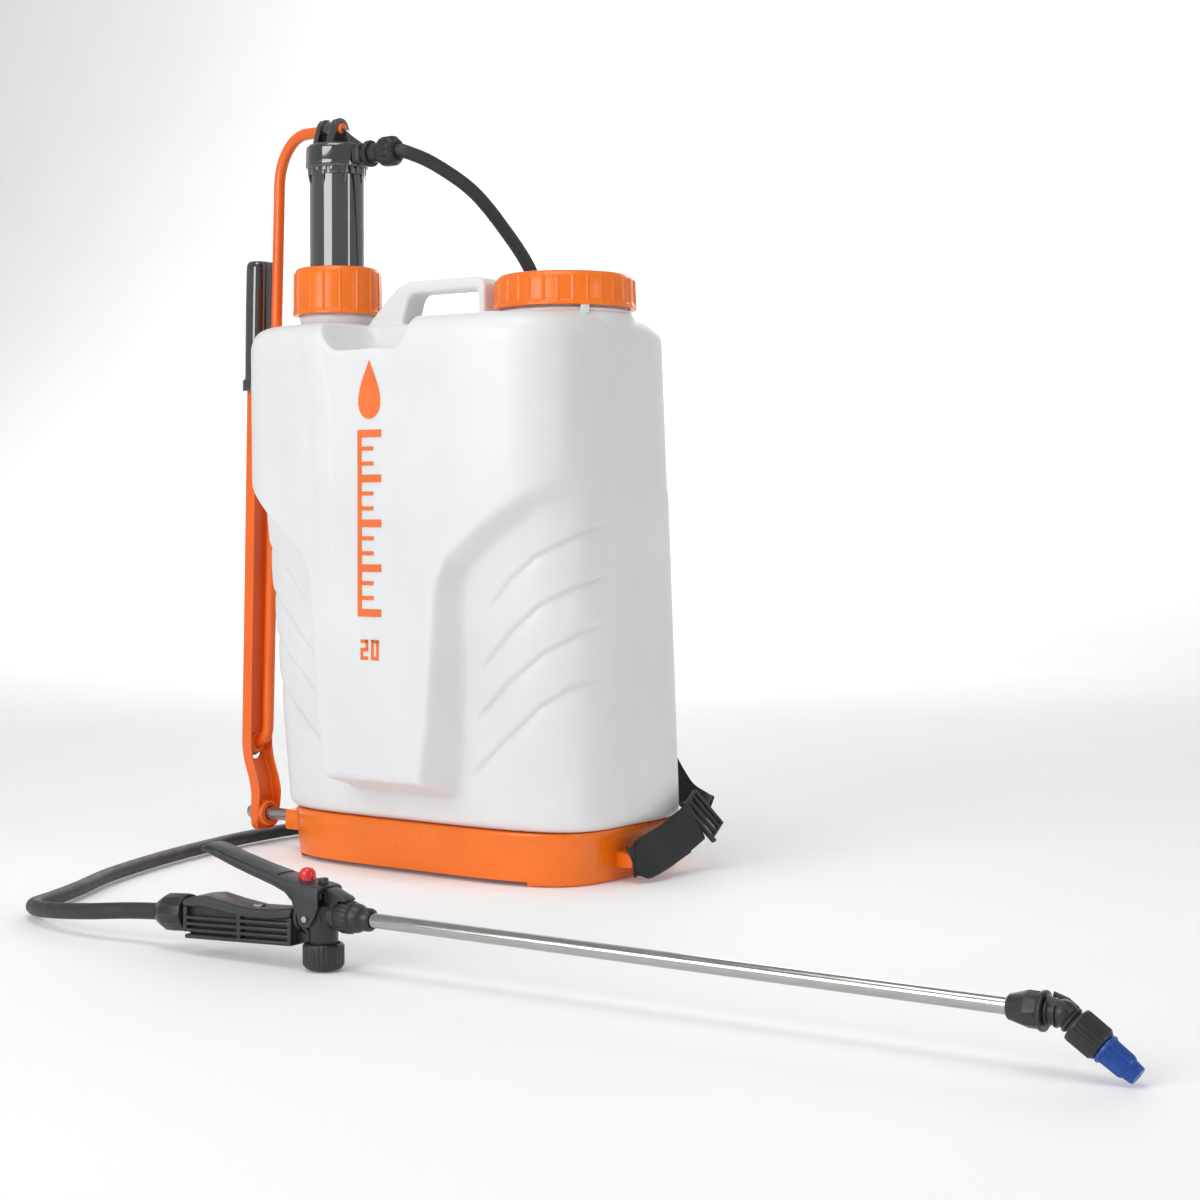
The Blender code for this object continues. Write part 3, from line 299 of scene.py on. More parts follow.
ORANGE = (0.93, 0.178, 0.002)
MATERIALS = {
    "tank": tank_plastic(),
    "orange": moulded("orange_moulding", ORANGE, 0.3, 1500.0, 0.03, 1.04, 0.03, Coat_Weight=0.15,
                      Coat_Roughness=0.15, Subsurface_Weight=0.06, Subsurface_Scale=0.004),
    "paint": painted("orange_paint", (0.88, 0.135, 0.003), 0.34),
    "gloss": moulded("gloss_black", (0.0065, 0.0075, 0.0085), 0.12, 1500.0, 0.02, 3.0, 0.15, Coat_Weight=1.0,
                     Coat_Roughness=0.05, Coat_IOR=1.9),
    "black": moulded("satin_black", (0.017, 0.019, 0.021), 0.36, 1300.0, 0.1, 2.6, 0.15),
    "saddle": moulded("grip_saddle", (0.034, 0.037, 0.04), 0.42, 900.0, 0.16, 1.8, 0.12),
    "mottled": moulded("trigger_top", (0.04, 0.043, 0.05), 0.4, 420.0, 0.35, 2.2, 0.55),
    "hose": rubber("hose_rubber", (0.021, 0.0235, 0.026), 0.5),
    "seal": rubber("seal_rubber", (0.018, 0.018, 0.018), 0.7),
    "steel": metal("polished_steel", (0.46, 0.455, 0.44), 0.16, (0.05, 1.0, 1.0), 700.0),
    "zinc": metal("zinc_plate", (0.42, 0.43, 0.44), 0.34),
    "natural": moulded("natural_plastic", (0.5, 0.51, 0.5), 0.45),
    "red": moulded("red_button", (0.78, 0.01, 0.01), 0.22, 1200.0, 0.03, 1.1, 0.06, Coat_Weight=0.5),
    "blue": moulded("blue_nozzle", (0.005, 0.06, 0.32), 0.3, 1200.0, 0.05, 2.2, 0.12),
    "webbing": woven("webbing", (0.009, 0.0105, 0.0115), 4200.0, 2600.0),
    "pad_cloth": woven("pad_cloth", (0.022, 0.024, 0.027), 2600.0, 2600.0),
    "print": moulded("orange_print", (0.86, 0.17, 0.03), 0.5, 900.0, 0.05, 1.0, 0.1),
}

# ---------------------------------------------------------------- mesh helpers


def link_in(obj):
    bpy.context.scene.collection.objects.link(obj)


def make_object(name, verts, faces, mat=None, smooth=35):
    mesh = bpy.data.meshes.new(name)
    mesh.from_pydata([tuple(v) for v in verts], [], faces)
    mesh.validate()
    work = bmesh.new()
    work.from_mesh(mesh)
    bmesh.ops.recalc_face_normals(work, faces=work.faces)
    work.to_mesh(mesh)
    work.free()
    return add_mesh(name, mesh, mat, smooth)


def add_mesh(name, mesh, mat=None, smooth=35):
    obj = bpy.data.objects.new(name, mesh)
    link_in(obj)
    if mat:
        mesh.materials.append(MATERIALS[mat])
    if smooth:
        mesh.shade_smooth()
    mesh.set_sharp_from_angle(angle=math.radians(smooth))
    return obj


def applied(obj, smooth=35):
    """Replaces the mesh with its modified form."""
    graph = bpy.context.evaluated_depsgraph_get()
    mesh = bpy.data.meshes.new_from_object(obj.evaluated_get(graph), depsgraph=graph)
    obj.modifiers.clear()
    obj.data = mesh
    mesh.shade_smooth()
    mesh.set_sharp_from_angle(angle=math.radians(smooth))
    return obj


def modified(obj, kind, smooth=35, **settings):
    mod = obj.modifiers.new(kind.lower(), kind)
    for key, value in settings.items():
        setattr(mod, key, value)
    return applied(obj, smooth)


def bevelled(obj, width, segments=3, angle=30):
    return modified(obj, "BEVEL", width=width, segments=segments, limit_method="ANGLE",
                    angle_limit=math.radians(angle), harden_normals=False)


def boolean(obj, others, operation):
    for other in others:
        mod = obj.modifiers.new("boolean", "BOOLEAN")
        mod.operation = operation
        mod.solver = "EXACT"
        mod.object = other
        applied(obj)
        bpy.data.objects.remove(other, do_unlink=True)
    return obj


def cut(obj, *others):
    return boolean(obj, others, "DIFFERENCE")


def join(obj, *others):
    return boolean(obj, others, "UNION")


def merged(name, *objects):
    """One object holding separate shells, without a boolean."""
    work = bmesh.new()
    slots = []
    for obj in objects:
        mesh = obj.data.copy()
        mesh.transform(obj.matrix_world)
        offset = len(slots)
        slots.extend(mesh.materials)
        count = len(work.faces)
        work.from_mesh(mesh)
        work.faces.ensure_lookup_table()
        for face in work.faces[count:]:
            face.material_index += offset
        bpy.data.objects.remove(obj, do_unlink=True)
    mesh = bpy.data.meshes.new(name)
    work.to_mesh(mesh)
    work.free()
    for mat in slots:
        mesh.materials.append(mat)
    obj = bpy.data.objects.new(name, mesh)
    link_in(obj)
    return obj


def skin(name, rings, mat=None, smooth=35, cap=True):
    """Quads over a grid of rings, each the same number of points."""
    rings = np.asarray(rings, dtype=float)
    count, size = rings.shape[:2]
    verts = rings.reshape(-1, 3)
    faces = []
    for i in range(count - 1):
        row, nxt = i * size, (i + 1) * size
        for j in range(size):
            k = (j + 1) % size
            faces.append((row + j, row + k, nxt + k, nxt + j))
    if cap:
        faces.append(tuple(range(size))[::-1])
        faces.append(tuple(range((count - 1) * size, count * size)))
    return make_object(name, verts, faces, mat, smooth)


def fillet(points, radius, steps=4):
    """Rounds each corner of an outline with a short arc."""
    points = [Vector(p[:2]) for p in points]
    count = len(points)
    result = []
    for i, corner in enumerate(points):
        before, after = points[i - 1], points[(i + 1) % count]
        a, b = before - corner, after - corner
        reach = min(radius, a.length * 0.45, b.length * 0.45)
        if reach < 1e-6 or a.angle(b) > math.radians(172):
            result.append(tuple(corner))
            continue
        start, end = corner + a.normalized() * reach, corner + b.normalized() * reach
        for k in range(steps + 1):
            t = k / steps
            p = start * (1 - t) ** 2 + corner * 2 * t * (1 - t) + end * t * t
            result.append(tuple(p))
    return result


def ridge(count, width):
    """Narrow raised ribs around a turned piece: 1 on a rib, 0 between."""
    def shape(angle):
        phase = (angle * count / (2 * math.pi)) % 1.0
        gap = np.minimum(phase, 1 - phase)
        return np.clip(1 - gap / width, 0, 1) ** 0.6
    return shape


def facets(count, radius):
    """Flats of a many-sided nut, as a drop from the round radius."""
    def shape(angle):
        step = 2 * math.pi / count
        inside = (angle % step) - step / 2
        return radius * (math.cos(step / 2) / np.cos(inside) - 1)
    return shape


def waves(count, power=1.0):
    def shape(angle):
        return (0.5 + 0.5 * np.cos(angle * count)) ** power
    return shape


def turned(name, profile, place, mat, steps=96, pattern=None, span=None, depth=1.0, closed=True, smooth=35):
    """Revolves an (r, z) profile about local Z; a pattern moves points inside the height span outwards."""
    angles = np.linspace(0, 2 * math.pi, steps, endpoint=False)
    swing = pattern(angles) * depth if pattern is not None else np.zeros(steps)
    rings = []
    for r, z in profile:
        radii = np.full(steps, r)
        if span and span[0] <= z <= span[1] and r > span[2]:
            radii = radii + swing
        rings.append(np.stack([radii * np.cos(angles), radii * np.sin(angles), np.full(steps, z)], -1))
    rings = np.array(rings)
    if closed:
        rings = np.concatenate([rings, rings[:1]])
    obj = skin(name, rings, mat, smooth, cap=False)
    if closed or not all(abs(profile[i][0]) > 1e-7 for i in (0, -1)):
        work = bmesh.new()
        work.from_mesh(obj.data)
        bmesh.ops.remove_doubles(work, verts=work.verts, dist=1e-7)
        bmesh.ops.recalc_face_normals(work, faces=work.faces)
        work.to_mesh(obj.data)
        work.free()
        obj.data.set_sharp_from_angle(angle=math.radians(smooth))
    obj.data.transform(place)
    return obj


def rod(name, radius, z0, z1, place, mat=None, steps=48, edge=0.0):
    profile = [(0, z0), (radius - edge, z0), (radius, z0 + edge), (radius, z1 - edge), (radius - edge, z1),
               (0, z1)]
    if not edge:
        profile = [(0, z0), (radius, z0), (radius, z1), (0, z1)]
    return turned(name, profile, place, mat, steps, closed=False)


def box(name, size, centre, mat=None, place=None, bevel=0.0, segments=3):
    mesh = bpy.data.meshes.new(name)
    work = bmesh.new()
    bmesh.ops.create_cube(work, size=1.0)
    bmesh.ops.scale(work, vec=size, verts=work.verts)
    bmesh.ops.translate(work, vec=centre, verts=work.verts)
    if place:
        work.transform(place)
    work.to_mesh(mesh)
    work.free()
    obj = add_mesh(name, mesh, mat)
    return bevelled(obj, bevel, segments) if bevel else obj


def plate(name, outline, thickness, place, mat=None, bevel=0.0, segments=3):
    """Extrudes a 2D outline by its thickness, centred on the local XY plane."""
    half = thickness / 2
    rings = [[(x, y, -half) for x, y in outline], [(x, y, half) for x, y in outline]]
    obj = skin(name, rings, mat)
    obj.data.transform(place)
    return bevelled(obj, bevel, segments) if bevel else obj


def smooth_path(stations, per_span=8):
    """Catmull-Rom points through the stations."""
    points = [Vector(p) for p in stations]
    padded = [points[0] * 2 - points[1]] + points + [points[-1] * 2 - points[-2]]
    path = []
    for a, b, c, d in zip(padded, padded[1:], padded[2:], padded[3:]):
        for i in range(per_span):
            t = i / per_span
            path.append(0.5 * ((2 * b) + (c - a) * t + (2 * a - 5 * b + 4 * c - d) * t * t
                               + (3 * b - a - 3 * c + d) * t ** 3))
    path.append(points[-1])
    return path


def tube(name, path, radius, mat, sides=28, start=None, smooth=35):
    """A round tube along a path, with ends closed."""
    path = [Vector(p) for p in path]
    normal = Vector(start or (0, 0, 1))
    rings = []
    for i, place in enumerate(path):
        ahead = (path[min(i + 1, len(path) - 1)] - path[max(i - 1, 0)]).normalized()
        normal = (normal - ahead * normal.dot(ahead)).normalized()
        side = ahead.cross(normal)
        ring = []
        for k in range(sides):
            a = 2 * math.pi * k / sides
            ring.append(place + (normal * math.cos(a) + side * math.sin(a)) * radius)
        rings.append(ring)
    return skin(name, rings, mat, smooth)


def piece(obj, body, *nodes, slot=None):
    """Attaches a finished piece to the body it rides on and hides the CAD nodes it stands for."""
    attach(obj, body)
    if nodes:
        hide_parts(*nodes)
    return obj


def interp(x, stations):
    xs, ys = zip(*stations)
    return np.interp(x, xs, ys)


def ease(t):
    t = np.clip(t, 0.0, 1.0)
    return t * t * (3 - 2 * t)


# ---------------------------------------------------------------- tank

CORNER_POWER = 4.4
VALLEY_X, VALLEY_Z = (-0.05, 0.036), 0.448


def outline(angle, half_width, front, back):
    c, s = np.cos(angle), np.sin(angle)
    power = 2 / CORNER_POWER
    x = half_width * np.sign(c) * np.abs(c) ** power
    y = (front + back) / 2 + (back - front) / 2 * np.sign(s) * np.abs(s) ** power
    return x, y


def even_angles(half_width, front, back, count):
    """Angles that spread points evenly along the outline."""
    fine = np.linspace(0, 2 * math.pi, 4096)
    x, y = outline(fine, half_width, front, back)
    length = np.concatenate([[0], np.cumsum(np.hypot(np.diff(x), np.diff(y)))])
    return np.interp(np.linspace(0, length[-1], count, endpoint=False), length, fine)


def tank_ring(z, inset, count):
    """Plan section of the tank: raised front panel and shoulders, stepped-in lower corners, hollow back."""
    angle = even_angles(TANK_HALF, FRONT_Y, 0.09, count)
    back = interp(z, ((TANK_LOW, 0.104), (0.45, 0.069))) - inset
    low_front = interp(z, ((TANK_LOW, -0.1065), (0.34, -0.137))) + inset
    low_half = interp(z, ((TANK_LOW, 0.1705), (0.34, 0.175))) - inset
    rx, ry = outline(angle, TANK_HALF - inset, FRONT_Y + inset, back)
    lx, ly = outline(angle, low_half, low_front, back)
    step = interp(np.abs(rx), mm((62, 226), (71, 248), (82, 268), (114, 294), (146, 317), (175, 334)))
    panel = interp(z, mm((77, 55), (126, 63), (193, 69), (250, 73)))
    corner = ease((step - z) / 0.015 + 0.5) * ease((np.abs(rx) - panel) / 0.01 + 0.5)
    amount = np.maximum(corner, ease((0.078 - z) / 0.019 + 0.5))
    x, y = rx + (lx - rx) * amount, ry + (ly - ry) * amount
    width = ease((0.125 - np.abs(x)) / 0.085)
    height = ease((z - 0.055) / 0.08) * ease((0.475 - z) / 0.11)
    y = np.where(y > 0, y - 0.04 * width * height * ease(y / 0.06), y)
    return np.stack([x, y, np.full(count, z)], -1)


GROOVES = (
    mm((105, 225), (111, 233.3), (131, 255.8), (160, 275.6), (177, 282.1), (222, 297.4), (283, 308)),
    mm((100, 177), (110, 188.5), (137, 216.5), (166, 236.5), (206, 250.2), (265, 264.1), (283, 267)),
    mm((96, 134), (104, 143.8), (133, 171.7), (170, 196.3), (217, 214.1), (270, 225.7), (283, 227.5)),
    mm((90, 86), (97, 93.5), (134, 126.7), (168, 152.6), (204, 168.3), (250, 176), (283, 179)),
)


def groove_depth(points, normals):
    """How far the surface is pressed in: steps on the lower corners, a shallow strip down the front."""
    x, y, z = points.T
    run = np.abs(x) + np.maximum(0.0, y + 0.1335)
    depth = np.zeros(len(x))
    for line in GROOVES:
        below = interp(run, line) - z
        fade = ease((run - line[0][0]) / 0.018) * ease((0.268 - run) / 0.045)
        depth += (0.0034 * fade * ease((below + 0.0018) / 0.0048)
                  * np.exp(-np.maximum(0.0, below - 0.003) / 0.0085))
    depth *= (normals[:, 2] < 0.6) & (y < 0.02)
    front = ease((-0.12 - y) / 0.015) * ease((z - 0.09) / 0.03) * ease((0.47 - z) / 0.012)
    crease = interp(z, mm((89, -49), (270, -45), (397, -47), (457, -62)))
    strip = ease((x - crease) / 0.008) * ease((0.035 - x) / 0.007) * ease((z - 0.15) / 0.1)
    shoulder = ease((crease - 0.009 - x) / 0.014) * ease((z - 0.23) / 0.04)
    return depth + front * (0.0011 * strip + 0.002 * shoulder)


def build_tank():
    levels = [(TANK_LOW, 0.007), (TANK_LOW + 0.0015, 0.0035), (TANK_LOW + 0.004, 0.001)]
    radius = 0.02
    levels += [(float(z), 0.0) for z in np.arange(TANK_LOW + 0.008, TANK_HIGH - radius - 0.001, 0.0035)]
    for step in range(9):
        a = math.radians(90 * step / 8)
        levels.append((TANK_HIGH - radius + radius * math.sin(a), radius * (1 - math.cos(a))))
    shell = skin("tank_shell", [tank_ring(z, inset, 300) for z, inset in levels], "tank")
    x0, x1 = VALLEY_X
    trough = fillet([(x0 - 0.016, TANK_HIGH + 0.004), (x0 + 0.006, VALLEY_Z), (x1, VALLEY_Z),
                     (x1 + 0.003, TANK_HIGH), (x1 + 0.003, 0.52), (x0 - 0.016, 0.52)], 0.011, 5)
    slopes = [(-0.18, 1.0), (-0.1, 1.0), (-0.09, 0.8), (-0.081, 0.3), (-0.076, 0.0)]
    rings = [[(x, y, TANK_HIGH + 0.006 + (z - TANK_HIGH - 0.006) * sink if z < TANK_HIGH + 0.006 else z)
              for x, z in trough] for y, sink in slopes]
    shell = cut(shell, skin("valley", rings))
    bar = mm((-86, 462), (-81.5, 477), (-50, 505.5), (-38, 512.5), (42, 512.5), (50.5, 506.5), (50.5, 462))
    handle = plate("handle", fillet(bar, 0.009, 4), 0.027, at(0, -0.05) @ FRONT_ON, None, 0.0055, 4)
    gap = fillet(mm((-44, 466), (44, 466), (43, 501), (-33, 501)), 0.0065, 4)
    hole = plate("handle_hole", gap, 0.05, at(0, -0.05) @ FRONT_ON, None)
    handle = cut(handle, hole)
    rings = [rod("pump_rise", 0.0385, 0.456, 0.4772, PUMP_AT, None, 96),
             rod("lid_rise", 0.058, 0.456, 0.4762, LID_AT, None, 128)]
    bosses = [box("boss", (0.0532, 0.03, 0.027), (s * 0.0543, 0.0562, 0.4435), bevel=0.002) for s in (-1, 1)]
    bosses.append(box("boss", (0.03, 0.034, 0.016), (0.01, 0.0555, 0.418), bevel=0.002))
    shell = join(shell, handle, *rings, *bosses)
    bores = [rod("bore", 0.0312, 0.34, 0.55, PUMP_AT, None, 64),
             rod("bore", 0.05, 0.37, 0.55, LID_AT, None, 96)]
    shell = cut(shell, *bores)
    shell = modified(shell, "REMESH", 60, mode="VOXEL", voxel_size=0.002)
    shell = modified(shell, "SMOOTH", 60, factor=0.5, iterations=7)
    mesh = shell.data
    points = np.empty(len(mesh.vertices) * 3)
    normals = np.empty(len(mesh.vertices) * 3)
    mesh.vertices.foreach_get("co", points)
    mesh.vertices.foreach_get("normal", normals)
    points, normals = points.reshape(-1, 3), normals.reshape(-1, 3)
    points = points - normals * groove_depth(points, normals)[:, None]
    mesh.vertices.foreach_set("co", points.ravel())
    mesh.update()
    mesh.materials.clear()
    mesh.materials.append(MATERIALS["tank"])
    piece(shell, TANK, "tank", slot="tank")
    return shell


def build_necks():
    """Threaded necks under the nut and the lid, with their collars and the lid's stop lugs."""
    for tag, spot, bore, outer, top, collar in (("pump", PUMP, 0.0308, 0.0338, 0.5158, 0.0372),
            ("lid", LID, 0.0497, 0.0533, 0.4953, 0.0566)):
        low = 0.465
        profile = [(bore, low), (collar, low), (collar, 0.4778), (outer + 0.0006, 0.4792)]
        steps = 24
        for k in range(steps + 1):
            z = 0.48 + (top - 0.482) * k / steps
            profile.append((outer + 0.0009 * (0.5 - 0.5 * math.cos(2 * math.pi * k / 6)) - 0.0006, z))
        profile += [(outer - 0.0008, top), (bore + 0.0008, top), (bore, top - 0.0008)]
        neck = turned("neck_" + tag, profile, at(spot.x, spot.y), "tank", 128, smooth=50)
        piece(neck, TANK, slot="tank")
    lugs = []
    for degrees in (-38, 142):
        spin = LID_AT @ turn(degrees, "Z")
        lugs.append(box("lug", (0.005, 0.0075, 0.0085), (0.0572, 0, 0.4768), "tank", spin, 0.0012))
    piece(merged("neck_lugs", *lugs), TANK, slot="tank")


def drop_shape():
    """A plain water drop, point up."""
    angles = [2 * math.pi * k / 24 for k in range(24)]
    return [(math.sin(a) * math.sin(a / 2) ** 1.4 * 0.5, math.cos(a) * 0.62) for a in angles]


def build_print(shell):
    """A printed fill scale: plain bars, a drop mark and two numerals, laid on the front panel."""
    graph = bpy.context.evaluated_depsgraph_get()
    tree = BVHTree.FromObject(shell, graph)
    shapes = []

    def bar(x0, x1, z0, z1):
        shapes.append([(x0, z0), (x1, z0), (x1, z1), (x0, z1)])

    for k in range(13):
        z = 0.376 - 0.0125 * k
        long = k % 3 == 0
        bar(-0.013, 0.013 if long else 0.0045, z - (0.0032 if long else 0.0017),
                z + (0.0032 if long else 0.0017))
    bar(-0.013, -0.0085, 0.2235, 0.376)
    shapes.append([(0.034 * x, 0.413 + 0.04 * z) for x, z in drop_shape()])
    stroke = 0.003
    # numerals "20" drawn as straight strokes
    for x, segments in ((-0.0095, "2"), (0.002, "0")):
        width, z0, z1 = 0.0085, 0.1865, 0.2035
        mid = (z0 + z1) / 2
        parts = {
            "top": (x, x + width, z1 - stroke, z1), "low": (x, x + width, z0, z0 + stroke),
            "mid": (x, x + width, mid - stroke / 2, mid + stroke / 2),
            "ul": (x, x + stroke, mid, z1), "ll": (x, x + stroke, z0, mid),
            "ur": (x + width - stroke, x + width, mid, z1), "lr": (x + width - stroke, x + width, z0, mid),
        }
        used = {"2": ("top", "ur", "mid", "ll", "low"),
                "0": ("top", "ur", "lr", "low", "ll", "ul")}[segments]
        for key in used:
            bar(*parts[key])
    verts, faces = [], []
    for shape in shapes:
        start = len(verts)
        for x, z in shape:
            hit = tree.ray_cast(Vector((x, -0.3, z)), Vector((0, 1, 0)))[0]
            y = hit.y if hit else FRONT_Y
            verts.append((x, max(y - 0.00025, FRONT_Y - 0.001), z))
        faces.append(tuple(range(start, start + len(shape))))
    print_mesh = make_object("fill_scale", verts, faces, "print", 0)
    modified(print_mesh, "SOLIDIFY", thickness=0.0002, offset=0.0)
    piece(print_mesh, TANK, slot="print")


# ---------------------------------------------------------------- base and axle

def base_ring(z, half_x, half_y, count=260):
    x, y = outline(even_angles(half_x, -half_y, half_y, count), half_x, -half_y, half_y)
    return np.stack([x, y, np.full(count, z)], -1)


def build_base():
    half_x, half_y, draft = 0.164, 0.1065, 0.0028
    outer = [(0.0, draft + 0.0024), (0.0006, draft + 0.001), (0.002, draft + 0.0002), (0.004, draft)]
    outer += [(BASE_TOP * t, draft * (1 - t)) for t in (0.25, 0.5, 0.75)]
    outer += [(BASE_TOP - 0.006, 0.0003), (BASE_TOP - 0.0052, -0.0002), (BASE_TOP - 0.0014, -0.0002),
              (BASE_TOP - 0.0004, 0.0004), (BASE_TOP, 0.0016)]
    outer = [(z, max(d, 0.0)) for z, d in outer]
    shell = skin("base_tray", [base_ring(z, half_x - d, half_y - d) for z, d in outer], "orange")
    inside = skin("inside", [base_ring(-0.01, half_x - draft - 0.0035, half_y - draft - 0.0035),
                             base_ring(BASE_TOP - 0.0035, half_x - 0.0035, half_y - 0.0035)])
    arch = box("arch", (0.262, 0.3, 0.0072), (-0.01, 0, 0.0), bevel=0.0012)
    shell = cut(shell, inside, arch)
    lug = box("axle_lug", (0.018, 0.026, 0.018), (-0.167, -0.058, 0.029), bevel=0.0025)
    ribs = [box("rib", (0.004, 0.2, 0.0375), (x, 0.0, 0.0245)) for x in (-0.06, 0.06)]
    ribs += [box("rib", (0.31, 0.0035, 0.033), (0.0, y, 0.025)) for y in (0.0, 0.055)]
    shell = join(shell, lug, *ribs)
    tabs = []
    for side in (-1, 1):
        tab = mm((0, 10.5), (19.5, 12), (19.8, 19), (16.5, 22.5), (0, 26.2))
        place = Matrix(((side, 0, 0, 0.159 * side), (0, 0, 1, -0.016), (0, 1, 0, 0), (0, 0, 0, 1)))
        tabs.append(plate("tab", tab, 0.02, place, None, 0.0012))
    shell = join(shell, *tabs)
    bore = rod("bore", 0.006, -0.2, 0.085, along_x(0, *AXLE_YZ), None, 40)
    shell = cut(shell, bore)
    shell.data.materials.clear()
    shell.data.materials.append(MATERIALS["orange"])
    piece(shell, TANK, "base", slot="orange")


# ---------------------------------------------------------------- nut, lid and strainer

def build_caps():
    z0, z1 = bottom_of("pump_nut"), top_of("pump_nut")
    profile = raised(z1, (26.2, -0.4), (26.8, 0), (34.5, 0), (36.6, -0.6), (37.9, -2), (38.4, -4.2),
                     (38.6, -4.6))
    profile += [(0.0388, (z0 + z1) / 2)]
    profile += raised(z0, (38.9, 6.2), (39, 4.5), (39.6, 3), (40.1, 2.2), (40.2, 0.6), (39.8, 0), (35.2, 0))
    profile += raised(z1, (35.2, -6), (26.2, -6))
    nut = turned("nut_cap", profile, PUMP_AT, "orange", 16 * 24, ridge(16, 0.055),
                 (z0 + 0.003, z1 - 0.0043, 0.0375), 0.001)
    piece(nut, "pump_nut", "pump_nut", slot="orange")

    z0, z1 = bottom_of("filler_lid"), top_of("filler_lid")
    profile = raised(z1, (0, -1.6), (30, -1.6), (31, -0.6), (32.2, -0.2), (52, 0), (54.8, -0.4),
                     (56.8, -1.8), (58, -4), (58.4, -4.8))
    profile += [(0.0587, (z0 + z1) / 2)]
    profile += raised(z0, (59, 5.8), (59.2, 4.4), (59.8, 3.2), (60.4, 2.4), (60.5, 0.6), (60.1, 0),
                      (54.5, 0))
    profile += raised(z1, (54.5, -3), (0, -3))
    lid = turned("lid_cap", profile, LID_AT, "orange", 30 * 16, ridge(30, 0.1),
                 (z0 + 0.0032, z1 - 0.0045, 0.057), 0.0009, closed=False)
    piece(lid, "lid", "filler_lid", slot="orange")


# ---------------------------------------------------------------- pump

def build_pump():
    z0, z1 = 0.6193, 0.6409              # the head's skirt and its top
    tube_profile = mm((22.5, 200), (25, 200), (25, 636.2), (22.5, 636.2))
    barrel = turned("chamber_barrel", tube_profile, PUMP_AT, "gloss", 128)
    band = raised(z0, (25.25, 0), (26.8, 0), (26.8, -5), (26.2, -6.2), (25.25, -6.6))
    collar = turned("chamber_collar", band, PUMP_AT, "gloss", 16 * 16, waves(16, 3.0),
                    (z0 - 0.006, z0 + 0.001, 0.0265), -0.0008)
    fins = []
    for k in range(8):
        spin = PUMP_AT @ turn(45 * k + 12, "Z")
        fin = raised(z0, (25.1, 0), (27.2, 0), (26.8, -8), (25.1, -15))
        fins.append(plate("fin", fin, 0.0022, spin @ FRONT_ON, "gloss", 0.0004, 2))
    piece(merged("chamber_tube_black", barrel, collar, *fins), "chamber", "chamber_tube", slot="gloss")

    profile = raised(z1, (0, 0), (23.6, 0), (26.2, -0.8), (27.8, -2.6), (28.3, -4.8))
    profile += raised(z0, (28.4, 6.2), (28.6, 5.6), (28.6, 0.8), (28.1, 0), (25.3, 0))
    profile += mm((25.3, 636.5), (0, 636.5))
    cap = turned("chamber_head", profile, PUMP_AT, "gloss", 128, closed=False)
    parts = []
    for x in (-0.141, -0.125):
        ear = [(-0.0165, 0.6385)]
        ear += [(math.cos(math.radians(a)) * 0.0104, HEAD_Z + math.sin(math.radians(a)) * 0.0104)
                for a in range(165, 10, -12)]
        ear += [(0.0165, 0.6385)]
        ear = [(PUMP.y + y, z) for y, z in ear]
        blade = plate("ear", fillet(ear, 0.002, 2), 0.006, at(x, 0) @ SIDE_ON, "gloss", 0.0009, 2)
        hole = rod("hole", 0.0056, -0.02, 0.02, along_x(x, PUMP.y, HEAD_Z), None, 40)
        parts.append(cut(blade, hole))
    web = [(PUMP.y - 0.0135, 0.6385), (PUMP.y - 0.0075, 0.6475), (PUMP.y + 0.0075, 0.6475),
           (PUMP.y + 0.0135, 0.6385)]
    parts.append(plate("web", web, 0.012, at(-0.133, 0) @ SIDE_ON, "gloss", 0.0008, 2))
    parts.append(turned("hub", mm((5.6, 0), (8.4, 0), (8.4, 11), (5.6, 11)),
                        along_x(-0.1385, PUMP.y, HEAD_Z), "gloss", 48))
    for y in (-0.006, 0.0, 0.006):
        centre = (-0.133, PUMP.y + y, 0.649)
        parts.append(box("rib", (0.011, 0.0016, 0.024), centre, "gloss", None, 0.0004, 2))
    gusset = mm((-123, 638.5), (-122.2, 658), (-108, 647), (-93, 637.5), (-93, 630), (-110, 630))
    parts.append(plate("gusset", gusset, 0.005, at(0, PUMP.y) @ FRONT_ON, "gloss", 0.0006, 2))
    parts.append(box("outlet_boss", (0.0185, 0.0205, 0.019), (-0.1022, PUMP.y, 0.6302), "black", bevel=0.004))
    neck_at = along_x(-0.099, PUMP.y, OUTLET_Z)
    parts.append(rod("outlet_neck", 0.0086, 0.0, 0.023, neck_at, "black", 48, 0.0008))
    ring = mm((7.8, 0), (11.2, 0), (11.8, 1), (11.8, 3.8), (11, 4.8), (7.8, 4.8))
    parts.append(turned("outlet_ring", ring, along_x(-0.0905, PUMP.y, OUTLET_Z), "black", 64))
    piece(merged("chamber_head_black", cap, *parts), "chamber", "chamber_cap", slot="gloss")

    start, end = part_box("outlet_nut")[0][0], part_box("outlet_nut")[1][0]
    length = end - start
    profile = mm((8.3, 0), (10.6, 0), (12.8, 3.2), (13.2, 4.2))
    profile += raised(length, (13.2, -4.8), (12.8, -3.6), (10, -0.6), (9.4, 0), (6.6, 0))
    profile += mm((6.6, 6), (8.3, 6))
    nut = turned("outlet_ribbed_nut", profile, along_x(start, PUMP.y, OUTLET_Z), "black", 12 * 20,
                 waves(12, 2.0), (0.004, length - 0.0046, 0.0125), -0.0012)
    piece(nut, "chamber", "outlet_nut", slot="black")


# ---------------------------------------------------------------- lever and link

def lever_offset(z):
    x = interp(z, ((0.0544, -0.2325 + 0.0127), (0.0864, -0.2325)))
    y = interp(z, ((0.031, -0.055), (0.544, -0.0415)))
    return float(x), float(y)


def soft_offset(z):
    """The lever's offset with its two bends rounded."""
    values = [lever_offset(z + d)[0] for d in (-0.01, -0.006, -0.002, 0.002, 0.006, 0.01)]
    return sum(values) / len(values), lever_offset(z)[1]


